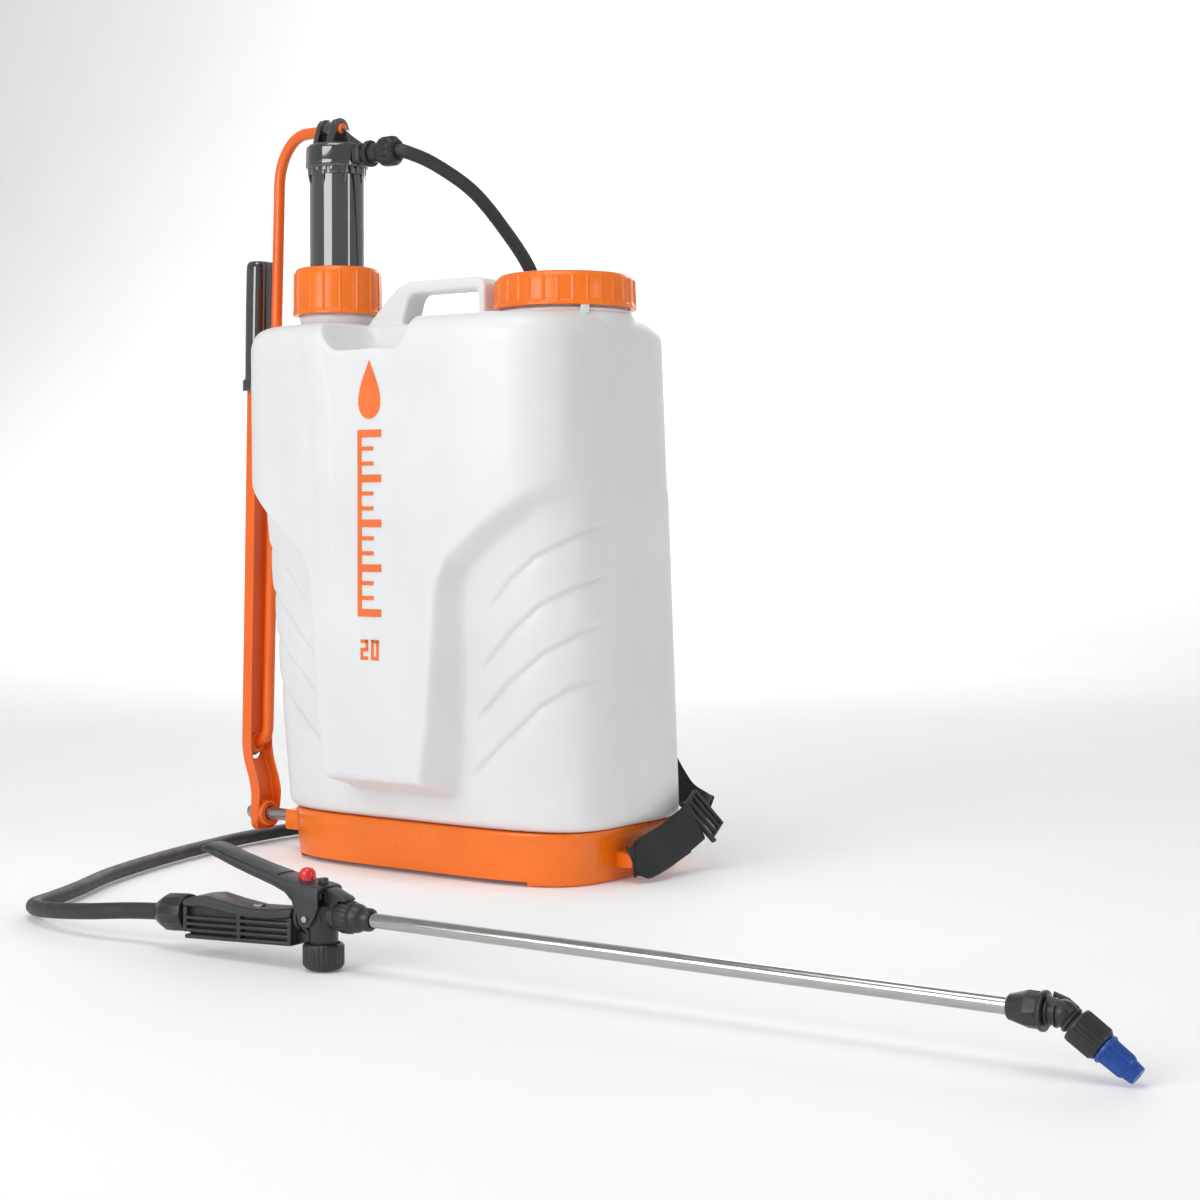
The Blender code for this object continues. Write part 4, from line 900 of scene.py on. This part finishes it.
def build_lever():
    sheet = 0.0022
    heights = [0.015, 0.0157, 0.0165, 0.0185, 0.0215, 0.026, 0.033, 0.04, 0.046, 0.05, 0.054, 0.058, 0.062,
               0.066, 0.07, 0.074, 0.078, 0.082, 0.086, 0.09, 0.096, 0.11, 0.16, 0.22, 0.3, 0.38, 0.43,
               0.534]
    rings = []
    for z in heights:
        x, y = soft_offset(z)
        half = 0.015
        if z < 0.0215:
            half = float(interp(z, mm((15, 8), (16.5, 11.2), (18.5, 13.5), (21.5, 15))))
        flange = float(interp(z, mm((16, 6), (22, 8.5), (50, 11.8))))
        bend = 0.0022
        outer = fillet([(0, -half), (flange, -half), (flange, -half + sheet), (sheet, -half + sheet),
                        (sheet, half - sheet), (flange, half - sheet), (flange, half), (0, half)], bend, 4)
        rings.append([(x + px, y + py, z) for px, py in outer])
    lever = skin("lever_channel", rings, "paint", 40)
    x, y = soft_offset(0.031)
    boss = turned("boss", fillet(mm((6.1, 0), (12.8, 0), (11.8, 3), (11.3, 14), (6.1, 14)), 0.0012, 3),
                  along_x(x, *AXLE_YZ), "paint", 64)
    lever = cut(lever, rod("bore", 0.0061, -0.3, -0.18, along_x(0, *AXLE_YZ), None, 40))
    slot_outline = []
    for first, z in ((0, 0.095), (180, 0.0864)):
        for degrees in range(first, first + 181, 15):
            a = math.radians(degrees)
            slot_outline.append((-0.0523 + 0.0071 * math.cos(a), z + 0.0071 * math.sin(a)))
    lever = cut(lever, plate("slot", slot_outline, 0.01, at(-0.2325, 0) @ SIDE_ON))
    rim_outer = [(-0.0523 + (y + 0.0523) * 1.42, 0.0907 + (z - 0.0907) * 1.22) for y, z in slot_outline]
    rim = plate("rim", rim_outer, 0.0016, at(-0.2295, 0) @ SIDE_ON, "paint", 0.0007, 2)
    rim = cut(rim, plate("slot", slot_outline, 0.01, at(-0.2325, 0) @ SIDE_ON))
    piece(merged("lever_arm", lever, boss, rim), "lever", "pump_lever", slot="paint")

    def grip_ring(z, half_x, half_y, count=144):
        x, y = lever_offset(z)
        points = []
        for k in range(count):
            a = 2 * math.pi * k / count
            c, s = math.cos(a), math.sin(a)
            px = math.copysign(abs(c) ** 0.62, c) * half_x
            py = math.copysign(abs(s) ** 0.62, s) * half_y
            # three shallow seams along the wide faces
            seam = 0
            if abs(px) > half_x * 0.9:
                seam = sum(math.exp(-((py - d) / 0.0011) ** 2) for d in (-0.0085, 0.0, 0.0085))
            px -= math.copysign(0.00055 * seam, px)
            points.append((x + 0.006 + px, y + py, z))
        return points

    levels = mm((423, 10.6, 19.8), (423.4, 11.2, 20.5), (432.5, 11.2, 20.5), (433.4, 10.8, 20),
                (434.5, 9.9, 18.3), (437, 9.8, 18), (460, 9.9, 18.2), (500, 10, 18.4), (536, 9.9, 18.2),
                (539.5, 9.7, 17.8), (542, 9, 16.8), (543.5, 7.2, 14.8))
    grip = skin("grip_sleeve", [grip_ring(*level) for level in levels], "gloss", 40)
    socket = []
    for z in (0.41, 0.423, 0.437, 0.5363):
        x, y = lever_offset(z)
        socket.append([(x - 0.0003, y - 0.0153, z), (x + 0.0123, y - 0.0153, z),
                       (x + 0.0123, y + 0.0153, z), (x - 0.0003, y + 0.0153, z)])
    grip = cut(grip, skin("socket", socket))
    piece(grip, "lever", "lever_grip", slot="gloss")


def build_link():
    top_x, low_x, bend = -0.1985, -0.2145, 0.016
    path = [(-0.1195, PUMP.y, HEAD_Z), (-0.14, PUMP.y, HEAD_Z), (-0.156, PUMP.y, HEAD_Z)]
    for i in range(21):
        a = math.radians(90 * i / 20)
        path.append((-0.164 - (-0.164 - top_x) * math.sin(a), PUMP.y, HEAD_Z - 0.046 * (1 - math.cos(a))))
    for t in (0.15, 0.3, 0.45, 0.6, 0.75, 0.9):
        path.append((top_x + (low_x - top_x) * t, PUMP.y - 0.001 * t, 0.609 + (0.111 - 0.609) * t))
    for i in range(11):
        a = math.radians(90 * i / 10)
        path.append((low_x - bend * (1 - math.cos(a)), -0.051, 0.095 + bend - bend * math.sin(a)))
    path.append((-0.2385, *EYE_YZ))
    link = tube("link_bar", path, 0.0052, "paint", 32, (0, 0, 1))
    link = bevelled(link, 0.0009, 3, 60)
    eye = turned("eye", fillet(mm((5, 0), (9.2, 0), (9.2, 3.6), (5, 3.6)), 0.0012, 3),
                 along_x(-0.2301, *EYE_YZ), "paint", 48)
    piece(merged("link_bent_bar", link, eye), "link", "link_rod", slot="paint")


# ---------------------------------------------------------------- hoses

def build_hoses():
    start_x = PUMP.x + 0.0585
    path = smooth_path([(start_x, PUMP.y, OUTLET_Z), (-0.066, PUMP.y, OUTLET_Z), (-0.057, PUMP.y, 0.6299),
                        (-0.048, -0.047, 0.6277), (-0.032, -0.029, 0.618), (-0.012, 0.0, 0.596),
                        (0.0, 0.03, 0.565), (0.008, 0.06, 0.529), (0.01, 0.082, 0.485),
                        (0.01, 0.088, 0.44)], 14)
    upper = tube("hose_top_run", path, HOSE_RADIUS, "hose", 32)
    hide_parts("hose_upper")
    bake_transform(upper)
    floor = HOSE_RADIUS + 0.0014

    def gun_point(x):
        return tuple(GUN @ Vector((x, 0, HANDLE_Z + HANDLE_SLOPE * (x - GRIP_X))))

    stations = [(0.01, 0.088, 0.4), (0.01, 0.096, 0.3), (0.008, 0.106, 0.18), (0.0, 0.119, 0.08),
                (-0.02, 0.126, 0.026), (-0.065, 0.128, floor), (-0.15, 0.118, floor),
                (-0.208, 0.072, floor), (-0.23, 0.008, floor), (-0.2275, -0.065, floor),
                (-0.213, -0.142, floor), (-0.193, -0.2175, floor), (-0.164, -0.2985, floor),
                (-0.133, -0.36, floor), (-0.113, -0.405, floor), (-0.095, -0.44, 0.0085),
                (-0.056, -0.462, 0.0125), (-0.005, -0.47, 0.018), gun_point(-0.213), gun_point(-0.168)]
    lower = tube("hose_floor_run", smooth_path(stations, 14), HOSE_RADIUS, "hose", 32)
    piece(lower, TANK, "hose_lower", slot="hose")


# ---------------------------------------------------------------- gun

GUN_SIDE = GUN @ turn(90, "X")


def build_gun_handle():
    top = mm((-56, 40.5), (-75, 38), (-95, 37), (-115, 39.2), (-133, 42), (-145, 40.4), (-155.2, 36.5))
    bottom = mm((-155.2, 15), (-148, 13.7), (-139, 12.2), (-100, 13.5), (-56, 15.2))
    core = plate("core", top + bottom, 0.017, GUN_SIDE, "black", 0.002, 3)
    parts = []
    slope = Matrix.Rotation(-math.atan(0.045), 4, "Y")
    for z, height in mm((14.6, 3), (19.2, 2.4), (23.6, 2.4), (28, 2.4)):
        place = GUN @ at(-0.1055, 0, z) @ slope
        size = (0.096 if z > 0.016 else 0.093, 0.025, height)
        parts.append(box("bar", size, (0, 0, 0), "black", place, 0.0008, 2))
    for x in (-0.0582, -0.103, -0.152):
        z_low, z_high = (0.0152, 0.0345) if x > -0.15 else (0.0155, 0.0335)
        parts.append(box("post", (0.0034, 0.0246, z_high - z_low), (x, 0, (z_low + z_high) / 2), "black",
                         GUN, 0.0008, 2))
    saddle_top = [(x, z + 0.0006) for x, z in top]
    saddle_low = mm((-154, 33), (-135, 34.5), (-115, 32.2), (-95, 30.6), (-75, 31.8), (-57.5, 34.5))
    saddle = plate("saddle", saddle_top + saddle_low, 0.025, GUN_SIDE, "saddle", 0.0032, 4)
    piece(merged("gun_grip", core, *parts, saddle), TANK, "gun_handle", slot="black")

    profile = mm((7.8, 0), (9, 0.8), (10.8, 4), (12.8, 8.2), (13.1, 9.2), (13.1, 26.2), (12.7, 27.2),
                 (6.4, 27.2), (6.4, 0))
    nut = turned("hose_nut", profile, handle_axis(-0.1845), "black", 12 * 16, waves(12, 3.0),
                 (0.0085, 0.0265, 0.0129), 0.0004)
    piece(nut, TANK, "gun_hose_nut", slot="black")


def build_valve():
    place = GUN @ at(-0.0378, 0)
    upright = turned("upright",
                     fillet(mm((8.2, 15), (10, 15), (10.2, 28), (10.7, 38), (10, 44), (2.6, 45.2),
                               (2.6, 30), (8.2, 30)), 0.0014, 3), place, "black", 64)
    neck = turned("neck", mm((0, 0), (10.8, 0), (11.5, 0.8), (11.5, 3), (10.4, 3.6), (10.4, 5.6),
                             (11.5, 6.2), (11.5, 9.6), (10.4, 10.2), (10, 23), (0, 23)),
                  handle_axis(-0.0556), "black", 64, closed=False)
    bracket = mm((-32.5, 42), (-32.8, 53), (-31.2, 56.2), (-26.2, 55.2), (-20.5, 52.8), (-16, 51.2),
                 (-14.2, 49.4), (-15, 48.2), (-21.5, 48.2), (-23.5, 41.5))
    arm = plate("arm", bracket, 0.011, GUN_SIDE, "black", 0.0012, 3)
    ears = []
    for side in (-1, 1):
        spot = GUN @ at(-0.043, 0, 0.0355) @ turn(90, "X")
        ears.append(turned("ear", fillet(mm((2.6, 8.5), (6.8, 8.5), (6, 11.2), (2.6, 11.2)), 0.0008, 2),
                           spot @ Matrix.Scale(side, 4, (0, 0, 1)), "black", 48))
    seat = turned("seat", mm((5.4, 0), (8, 0), (8, 6), (7, 6.2), (7, 23), (5.4, 23)), lance_axis(-0.03),
                  "black", 64)
    piece(merged("valve_housing", upright, neck, arm, *ears, seat), TANK, "gun_valve_body", slot="black")

    profile = mm((0, 0.4), (10.6, 0.4), (12.6, 1.4), (13.6, 3.4), (13.8, 4.6), (13.8, 16.2), (13.5, 17.4),
                 (12.8, 18), (11.4, 18), (11.1, 17.2), (11.1, 3.5), (0, 3.5))
    cap = turned("valve_knob", profile, place, "black", 30 * 12, waves(26, 1.5), (0.003, 0.0172, 0.0132),
                 0.0005, closed=False)
    piece(cap, TANK, "valve_cap", slot="black")


def build_trigger():
    """Channel-shaped lever: a crowned top face and two thin skirts that deepen towards the pivot."""
    stations = mm((-32.5, 57.2, 44), (-36, 58.3, 36), (-40, 58.9, 30.6), (-44, 59.4, 29.8),
                  (-48, 59.8, 31.6), (-51.5, 60.2, 40), (-55, 60.6, 47.2), (-60.3, 61.3, 52),
                  (-70, 63, 55.5), (-80.2, 65, 58.2), (-90, 67.1, 60.7), (-102.5, 70.2, 64.1),
                  (-111.5, 72.4, 66.7), (-120, 75, 69.4), (-129, 77.4, 72.2), (-135.5, 78.1, 73.8),
                  (-139.8, 76.8, 74.4))
    half, sheet = 0.0135, 0.0016

    def narrowing(x):
        return float(interp(x, ((-0.12, 0.86), (-0.062, 1.0))))

    rings = []
    for x, top, low in stations:
        near_end = ease((x + 0.1403) / 0.012)
        width = half * (0.8 + 0.2 * float(near_end)) * narrowing(x)
        section = [(-width, low), (-width, top - 0.0028), (-width + 0.0012, top - 0.001),
                   (-width * 0.55, top), (0, top + 0.0002), (width * 0.55, top),
                   (width - 0.0012, top - 0.001), (width, top - 0.0028), (width, low), (width - sheet, low),
                   (width - sheet, top - 0.0036), (0, top - 0.0026), (-width + sheet, top - 0.0036),
                   (-width + sheet, low)]
        rings.append([GUN @ Vector((x, y, z)) for y, z in section])
    dense = []
    for a, b in zip(rings, rings[1:]):
        for t in (0.0, 0.5):
            dense.append([p.lerp(q, t) for p, q in zip(a, b)])
    dense.append(rings[-1])
    lever = skin("lever", dense, "black", 40)
    beads = []
    for side in (-1, 1):
        path = [GUN @ Vector((x, side * half * narrowing(x), low + 0.0012))
                for x, top, low in stations[6:-1]]
        beads.append(tube("bead", smooth_path(path, 3), 0.001, "saddle", 10))
    lever = cut(lever, rod("hole", 0.0062, 0.045, 0.075, GUN @ at(-0.0515, 0), None, 40))
    pad_rings = []
    for x, top in [(x, top + 0.0003) for x, top, low in stations[8:-1]]:
        section = raised(top, (-10, -0.8), (-7.8, 0.3), (0, 0.6), (7.8, 0.3), (10, -0.8), (0, -1))
        pad_rings.append([GUN @ Vector((x, y, z)) for y, z in section])
    top_face = skin("top_face", pad_rings, "mottled", 50)
    nub = box("nub", (0.0052, 0.006, 0.0052), (-0.0378, 0, 0.0598), "black", GUN, 0.001, 2)
    ribs = [box("cross", (0.0018, 0.0205, 0.005), (x, 0, z), "black", GUN, 0.0004, 2)
            for x, z in mm((-70, 59.2), (-85, 62.2), (-100, 66.2), (-115, 70.3))]
    piece(merged("trigger_lever", lever, *beads, top_face, nub, *ribs), "trigger", "trigger", slot="black")

    profile = mm((0, 68.4), (1.6, 68.3), (3.4, 67.7), (4.8, 66.5), (5.6, 64.8), (5.8, 63), (5.8, 56),
                 (0, 56))
    button = turned("lock_knob", profile, GUN @ at(-0.0515, 0), "red", 64, closed=False)
    piece(button, "lock", "lock_button", slot="red")


def build_lance():
    profile = mm((5.4, 0), (8.5, 0), (9.9, 1), (10.1, 3), (9.4, 3.6), (9.4, 4.8), (10.4, 5.4), (10.7, 6.4),
                 (10.7, 13.6), (10.3, 14.4), (9.8, 15), (9.8, 16), (10.1, 16.5), (9.6, 19.2), (8, 22.6),
                 (7.4, 23.2), (7.4, 24), (7.9, 24.6), (7.9, 27.6), (7.4, 29.2), (6, 30), (5.4, 29.8))
    collar = turned("collar_ring", profile, lance_axis(-0.026), "black", 22 * 12, waves(22, 1.6),
                    (0.006, 0.014, 0.0102), 0.0005)
    piece(collar, TANK, "collar_nut", slot="black")
    profile = mm((5.3, 0), (6.4, 0), (7.6, 1.2), (7.8, 2.4), (8, 3), (10.4, 10.5), (10.8, 11.8), (10.8, 18),
                 (10.4, 18.8), (11.2, 19.2), (11.6, 19.8), (11.6, 21.4), (11.3, 21.8), (7.4, 21.8),
                 (7.4, 12), (5.3, 12))
    nut = turned("tip_union", profile, lance_axis(0.469 - 0.0218), "black", 8 * 20, facets(8, 0.0108),
                 (0.01, 0.0186, 0.01), 0.8)
    piece(nut, "lance", "tip_nut", slot="black")
    steel = turned("lance_pipe", mm((4, 0), (5, 0), (5, 467), (4, 467)), lance_axis(-0.015), "steel", 64)
    piece(steel, "lance", "lance_tube", slot="steel")


def build_tip():
    start = lance_axis(0.46)
    inlet = turned("inlet", mm((3, 0), (7, 0), (7, 9.5), (8.4, 10), (8.4, 11.2), (7.2, 11.8), (7.2, 14.2),
                               (8.4, 14.6), (8.4, 15.8), (7, 16.4), (7, 18), (3, 18)), start, "black", 64)
    knee_mesh = bpy.data.meshes.new("knee")
    work = bmesh.new()
    bmesh.ops.create_uvsphere(work, u_segments=32, v_segments=20, radius=0.008)
    work.transform(elbow_axis())
    work.to_mesh(knee_mesh)
    work.free()
    knee = add_mesh("knee", knee_mesh, "black")
    arm = turned("arm", mm((2.6, -1), (6.8, -1), (6.8, 4), (8, 4.6), (8, 6.2), (6.8, 6.8), (6.8, 20),
                           (2.6, 20)), elbow_axis(), "black", 64)
    fins = []
    for y in (-0.0052, 0.0052):
        fin = mm((470, 38.5), (471.5, 44.8), (480, 42), (486, 37.5), (481.5, 30.5), (476, 28.5))
        place = GUN @ at(0, y) @ turn(90, "X")
        fins.append(plate("fin", fin, 0.0016, place, "black", 0.0004, 2))
    cap = turned("cap", mm((7.3, 0), (10, 0), (10.4, 0.6), (10.4, 1.6), (10, 2.4), (9.9, 16), (9.5, 17.2),
                           (8.6, 18.6), (8, 19), (7.3, 19)), elbow_axis(0.0085), "black", 24 * 12,
                 waves(24, 1.6), (0.002, 0.0165, 0.0096), 0.0005)
    piece(merged("tip_elbow_black", inlet, knee, arm, *fins), "elbow", "tip_elbow", slot="black")
    piece(cap, "elbow", "tip_cap_nut", slot="black")
    profile = mm((3, 0), (8.6, 0), (9, 0.6), (9, 1.8), (8.4, 2.6), (7.8, 3), (7.4, 15), (7, 16.4),
                 (6.2, 17.2), (6.2, 18.6), (5.9, 19.6), (5.8, 22.2), (5.2, 23.2), (2.2, 23.2), (1.4, 22.2),
                 (1.2, 18), (3, 16))
    jet = turned("nozzle_cone", profile, elbow_axis(0.0278), "blue", 8 * 16, ridge(8, 0.1),
                 (0.0029, 0.016, 0.0072), 0.0006)
    piece(jet, "nozzle", "nozzle", slot="blue")


# ---------------------------------------------------------------- harness

def strap(name, stations, width, thickness, mat, across, per_span=10, crown=None, taper=None):
    """A flat woven strap along stations, with its own metre UVs, rounded edges and optional crown."""
    path = smooth_path(stations, per_span)
    side = Vector(across).normalized()
    length = 0.0
    rings, lengths = [], []
    shape = []
    columns = 14
    for k in range(columns + 1):
        u = -1 + 2 * k / columns
        shape.append((u, 0.5 * thickness * (1 - max(0.0, abs(u) - 0.86) / 0.14 * 0.7)))
    for i, place in enumerate(path):
        puff = crown(i / (len(path) - 1)) if crown else 0.0
        lifts = [(u, edge + (1 - u ** 4) * puff) for u, edge in shape]
        section = lifts + [(u, -lift) for u, lift in reversed(lifts)]
        ahead = path[min(i + 1, len(path) - 1)] - path[max(i - 1, 0)]
        if i:
            length += (place - path[i - 1]).length
        lengths.append(length)
        normal = ahead.cross(side).normalized()
        flat = normal.cross(ahead).normalized()
        half = width / 2 * (taper(i / (len(path) - 1)) if taper else 1.0)
        rings.append([place + flat * (u * half) + normal * lift for u, lift in section])
    obj = skin(name, rings, mat, 50)
    layer = obj.data.uv_layers.new(name="strap")
    size = len(section)
    for loop in obj.data.loops:
        ring, column = divmod(loop.vertex_index, size)
        layer.data[loop.index].uv = (lengths[min(ring, len(lengths) - 1)], section[column][0] * width / 2)
    return obj


def fold_width(t):
    """Rounds off the folded end of a strap."""
    return 0.7 + 0.3 * float(ease(t / 0.16))


def build_harness():
    for side, tag in ((-1, "left"), (1, "right")):
        x = 0.06 * side
        stations = [(x * 0.9, 0.0895, 0.448), (x * 0.93, 0.112, 0.454), (x * 0.97, 0.134, 0.422),
                    (x, 0.142, 0.355), (x, 0.14, 0.27), (x * 1.02, 0.13, 0.19)]

        def pad_width(t):
            return 0.86 + 0.14 * math.sin(math.pi * min(1.0, max(0.0, t)))

        def pad_puff(t):
            """Foam swelling between the rows of stitching across the pad."""
            row = (t * 7) % 1.0 - 0.5
            return 0.0027 - 0.0024 * math.exp(-(row / 0.055) ** 2)

        pad = strap("pad_" + tag, stations, 0.048, 0.0058, "pad_cloth", (1, 0, 0), 34, pad_puff, pad_width)
        binding = []
        for edge in (-1, 1):
            path = [Vector(p) + Vector((edge * 0.0215, 0, 0)) for p in smooth_path(stations, 8)]
            rail = tube("binding", path, 0.0028, "webbing", 12)
            binding.append(rail)
            layer = rail.data.uv_layers.new(name="strap")
            for loop in rail.data.loops:
                co = rail.data.vertices[loop.vertex_index].co
                layer.data[loop.index].uv = (co.z, co.x)
        piece(merged("shoulder_pad_sewn_" + tag, pad, *binding), TANK, "shoulder_pad_" + tag,
              slot="pad_cloth")

        anchor = box("anchor_plate", (0.05, 0.0105, 0.024), (x * 0.9, 0.0768, 0.4435), "black",
                     bevel=0.0028, segments=4)
        window = box("window", (0.04, 0.03, 0.006), (x * 0.9, 0.0768, 0.45), bevel=0.001)
        piece(cut(anchor, window), TANK, "strap_anchor_" + tag, slot="black")

        tail = strap("tail_" + tag, [(x * 1.03, 0.1287, 0.1855), (0.08 * side, 0.124, 0.14),
                                     (0.108 * side, 0.122, 0.095), (0.135 * side, 0.12, 0.06),
                                     (0.162 * side, 0.11, 0.049), (0.183 * side, 0.0865, 0.05)], 0.026,
                     0.0019, "webbing", (0.45 * side, 0.0, 0.9))
        piece(tail, TANK, "webbing_upper_" + tag, slot="webbing")
        outer = mm((183.4, -30, 19), (185.8, -12, 21.5), (186.6, 15, 28), (187.5, 40, 37),
                   (187.9, 52, 41.5), (188, 59.2, 44.2))
        across = (-0.25 * side, -0.44, 0.86)
        lower = strap("strap", [(x * side, y, z) for x, y, z in outer], 0.036, 0.002, "webbing", across, 10,
                      None, fold_width)
        inner = mm((182.2, -29, 19.2), (183, -5, 21.2), (183.8, 22, 26.6), (185, 44, 33))
        under = strap("under", [(x * side, y, z) for x, y, z in inner], 0.033, 0.002, "webbing",
                      (-0.25 * side, -0.34, 0.9), 10, None, fold_width)
        fold = strap("fold", [(0.1838 * side, -0.029, 0.019), (0.1828 * side, -0.0312, 0.0189),
                              (0.1818 * side, -0.029, 0.019)], 0.027, 0.0016, "webbing", across, 5)
        piece(merged("strap_" + tag, lower, under, fold), TANK, "webbing_lower_" + tag, slot="webbing")

        bars = Vector((-0.42 * side, -0.5, 0.76)).normalized()
        along = Vector((0.0, 0.93, 0.36))
        along = (along - bars * along.dot(bars)).normalized()
        frame_turn = Matrix((along.cross(bars), along, bars)).transposed().to_4x4()
        tilt = at(0.188 * side, 0.069, 0.048) @ frame_turn
        parts = []
        for y, depth, reach in mm((-10.5, 3.2, 46), (-3, 3.4, 40), (4.5, 3, 38), (10.3, 3.6, 40)):
            parts.append(box("bar", (0.0054, depth, reach), (0, y, 0), "black", tilt, 0.0013, 3))
        for z in (-0.0185, 0.0185):
            parts.append(box("rail", (0.0046, 0.023, 0.003), (0, 0, z), "black", tilt, 0.001, 2))
        piece(merged("ladder_lock_" + tag, *parts), TANK, "ladder_buckle_" + tag, slot="black")


# ---------------------------------------------------------------- CAD nodes kept, with finishes

def finish_nodes():
    finishes = {
        "zinc": "base_axle axle_washer link_washer", "seal": "lid_gasket pump_gasket lance_seal piston_cup",
        "black": "filler_strainer foot_valve hose_joiner hose_clip",
        "natural": "pump_barrel dip_tube gun_filter",
        "steel": "valve_ball valve_stem valve_spring trigger_pin",
    }
    for finish, nodes in finishes.items():
        for node in nodes.split():
            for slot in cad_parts[node].material_slots:
                slot.material = MATERIALS[finish]


# ---------------------------------------------------------------- stage

def build_stage():
    mesh = bpy.data.meshes.new("floor")
    rise, count, wall = 3.5, 20, 5.0
    sweep = [(rise * math.sin(math.radians(90 * k / count)), rise - rise
              * math.cos(math.radians(90 * k / count))) for k in range(count + 1)] + [(rise, wall)]
    columns = [(-12.0 - out, z) for out, z in reversed(sweep)] + [(12.0 + out, z) for out, z in sweep]
    rows = [(-12.0 - out, z) for out, z in reversed(sweep)] + [(2.5 + out, z) for out, z in sweep]
    verts = [(x, y, up + lift - 0.0006) for y, up in rows for x, lift in columns]
    width = len(columns)
    faces = [(r * width + c, r * width + c + 1, (r + 1) * width + c + 1, (r + 1) * width + c)
             for r in range(len(rows) - 1) for c in range(width - 1)]
    mesh.from_pydata(verts, [], faces)
    floor = bpy.data.objects.new("floor", mesh)
    link_in(floor)
    mesh.shade_smooth()
    shader = Shader("floor_paint", 0.75, Emission_Color=(1.0, 1.0, 1.0, 1.0), Emission_Strength=0.07)
    tone = shader.remap(shader.noise(3.0, 2.0), 0.3, 0.7)
    mesh.materials.append(shader.finish(shader.blend(tone, (0.9, 0.9, 0.9), (0.92, 0.92, 0.92))))

    world = bpy.data.worlds.new("studio")
    world.use_nodes = True
    world.node_tree.nodes["Background"].inputs[0].default_value = (0.98, 0.99, 1.0, 1.0)
    world.node_tree.nodes["Background"].inputs[1].default_value = 0.45
    bpy.context.scene.world = world

    def softbox(name, azimuth, distance, height, size, power, aim=(0.05, -0.15, 0.3)):
        """Azimuth in degrees round the object, 0 towards -Y and positive towards +X."""
        a = math.radians(azimuth)
        light = bpy.data.lights.new(name, "AREA")
        light.shape = "RECTANGLE"
        light.size, light.size_y = size
        light.energy = power
        light.spread = math.radians(170)
        lamp = bpy.data.objects.new(name, light)
        lamp.location = (math.sin(a) * distance, -math.cos(a) * distance, height)
        aim_at = Vector(aim) - lamp.location
        lamp.rotation_euler = aim_at.to_track_quat("-Z", "Y").to_euler()
        link_in(lamp)
        lamp.visible_camera = False

    softbox("softbox_key", -2, 2.2, 0.98, (1.35, 1.15), 17.5)
    softbox("softbox_strip", 88, 2.4, 0.6, (0.3, 1.3), 4.2, (0.1, 0.0, 0.15))
    softbox("softbox_top", 10, 0.9, 2.5, (1.3, 1.3), 14)
    softbox("softbox_back", 215, 2.6, 1.4, (1.4, 1.2), 9)
    softbox("softbox_wall", 203, 4.2, 3.6, (7.0, 1.6), 210, (-4.2, 6.0, 0.8))


def build_camera():
    yaw, pitch, distance, height = math.radians(37.8), math.radians(2.15), 2.0125, 0.3078
    data = bpy.data.cameras.new("camera")
    data.sensor_width = 36.0
    data.lens = 67.74
    data.shift_x = 0.0975
    camera = bpy.data.objects.new("camera", data)
    camera.location = (math.sin(yaw) * distance, -math.cos(yaw) * distance, height)
    camera.rotation_euler = (math.radians(90) - pitch, 0, yaw)
    link_in(camera)
    bpy.context.scene.camera = camera
    bpy.context.scene.view_settings.view_transform = "Standard"


def main():
    shell = build_tank()
    build_necks()
    build_print(shell)
    build_base()
    build_caps()
    build_pump()
    build_lever()
    build_link()
    build_hoses()
    build_gun_handle()
    build_valve()
    build_trigger()
    build_lance()
    build_tip()
    build_harness()
    finish_nodes()
    build_stage()
    build_camera()


main()
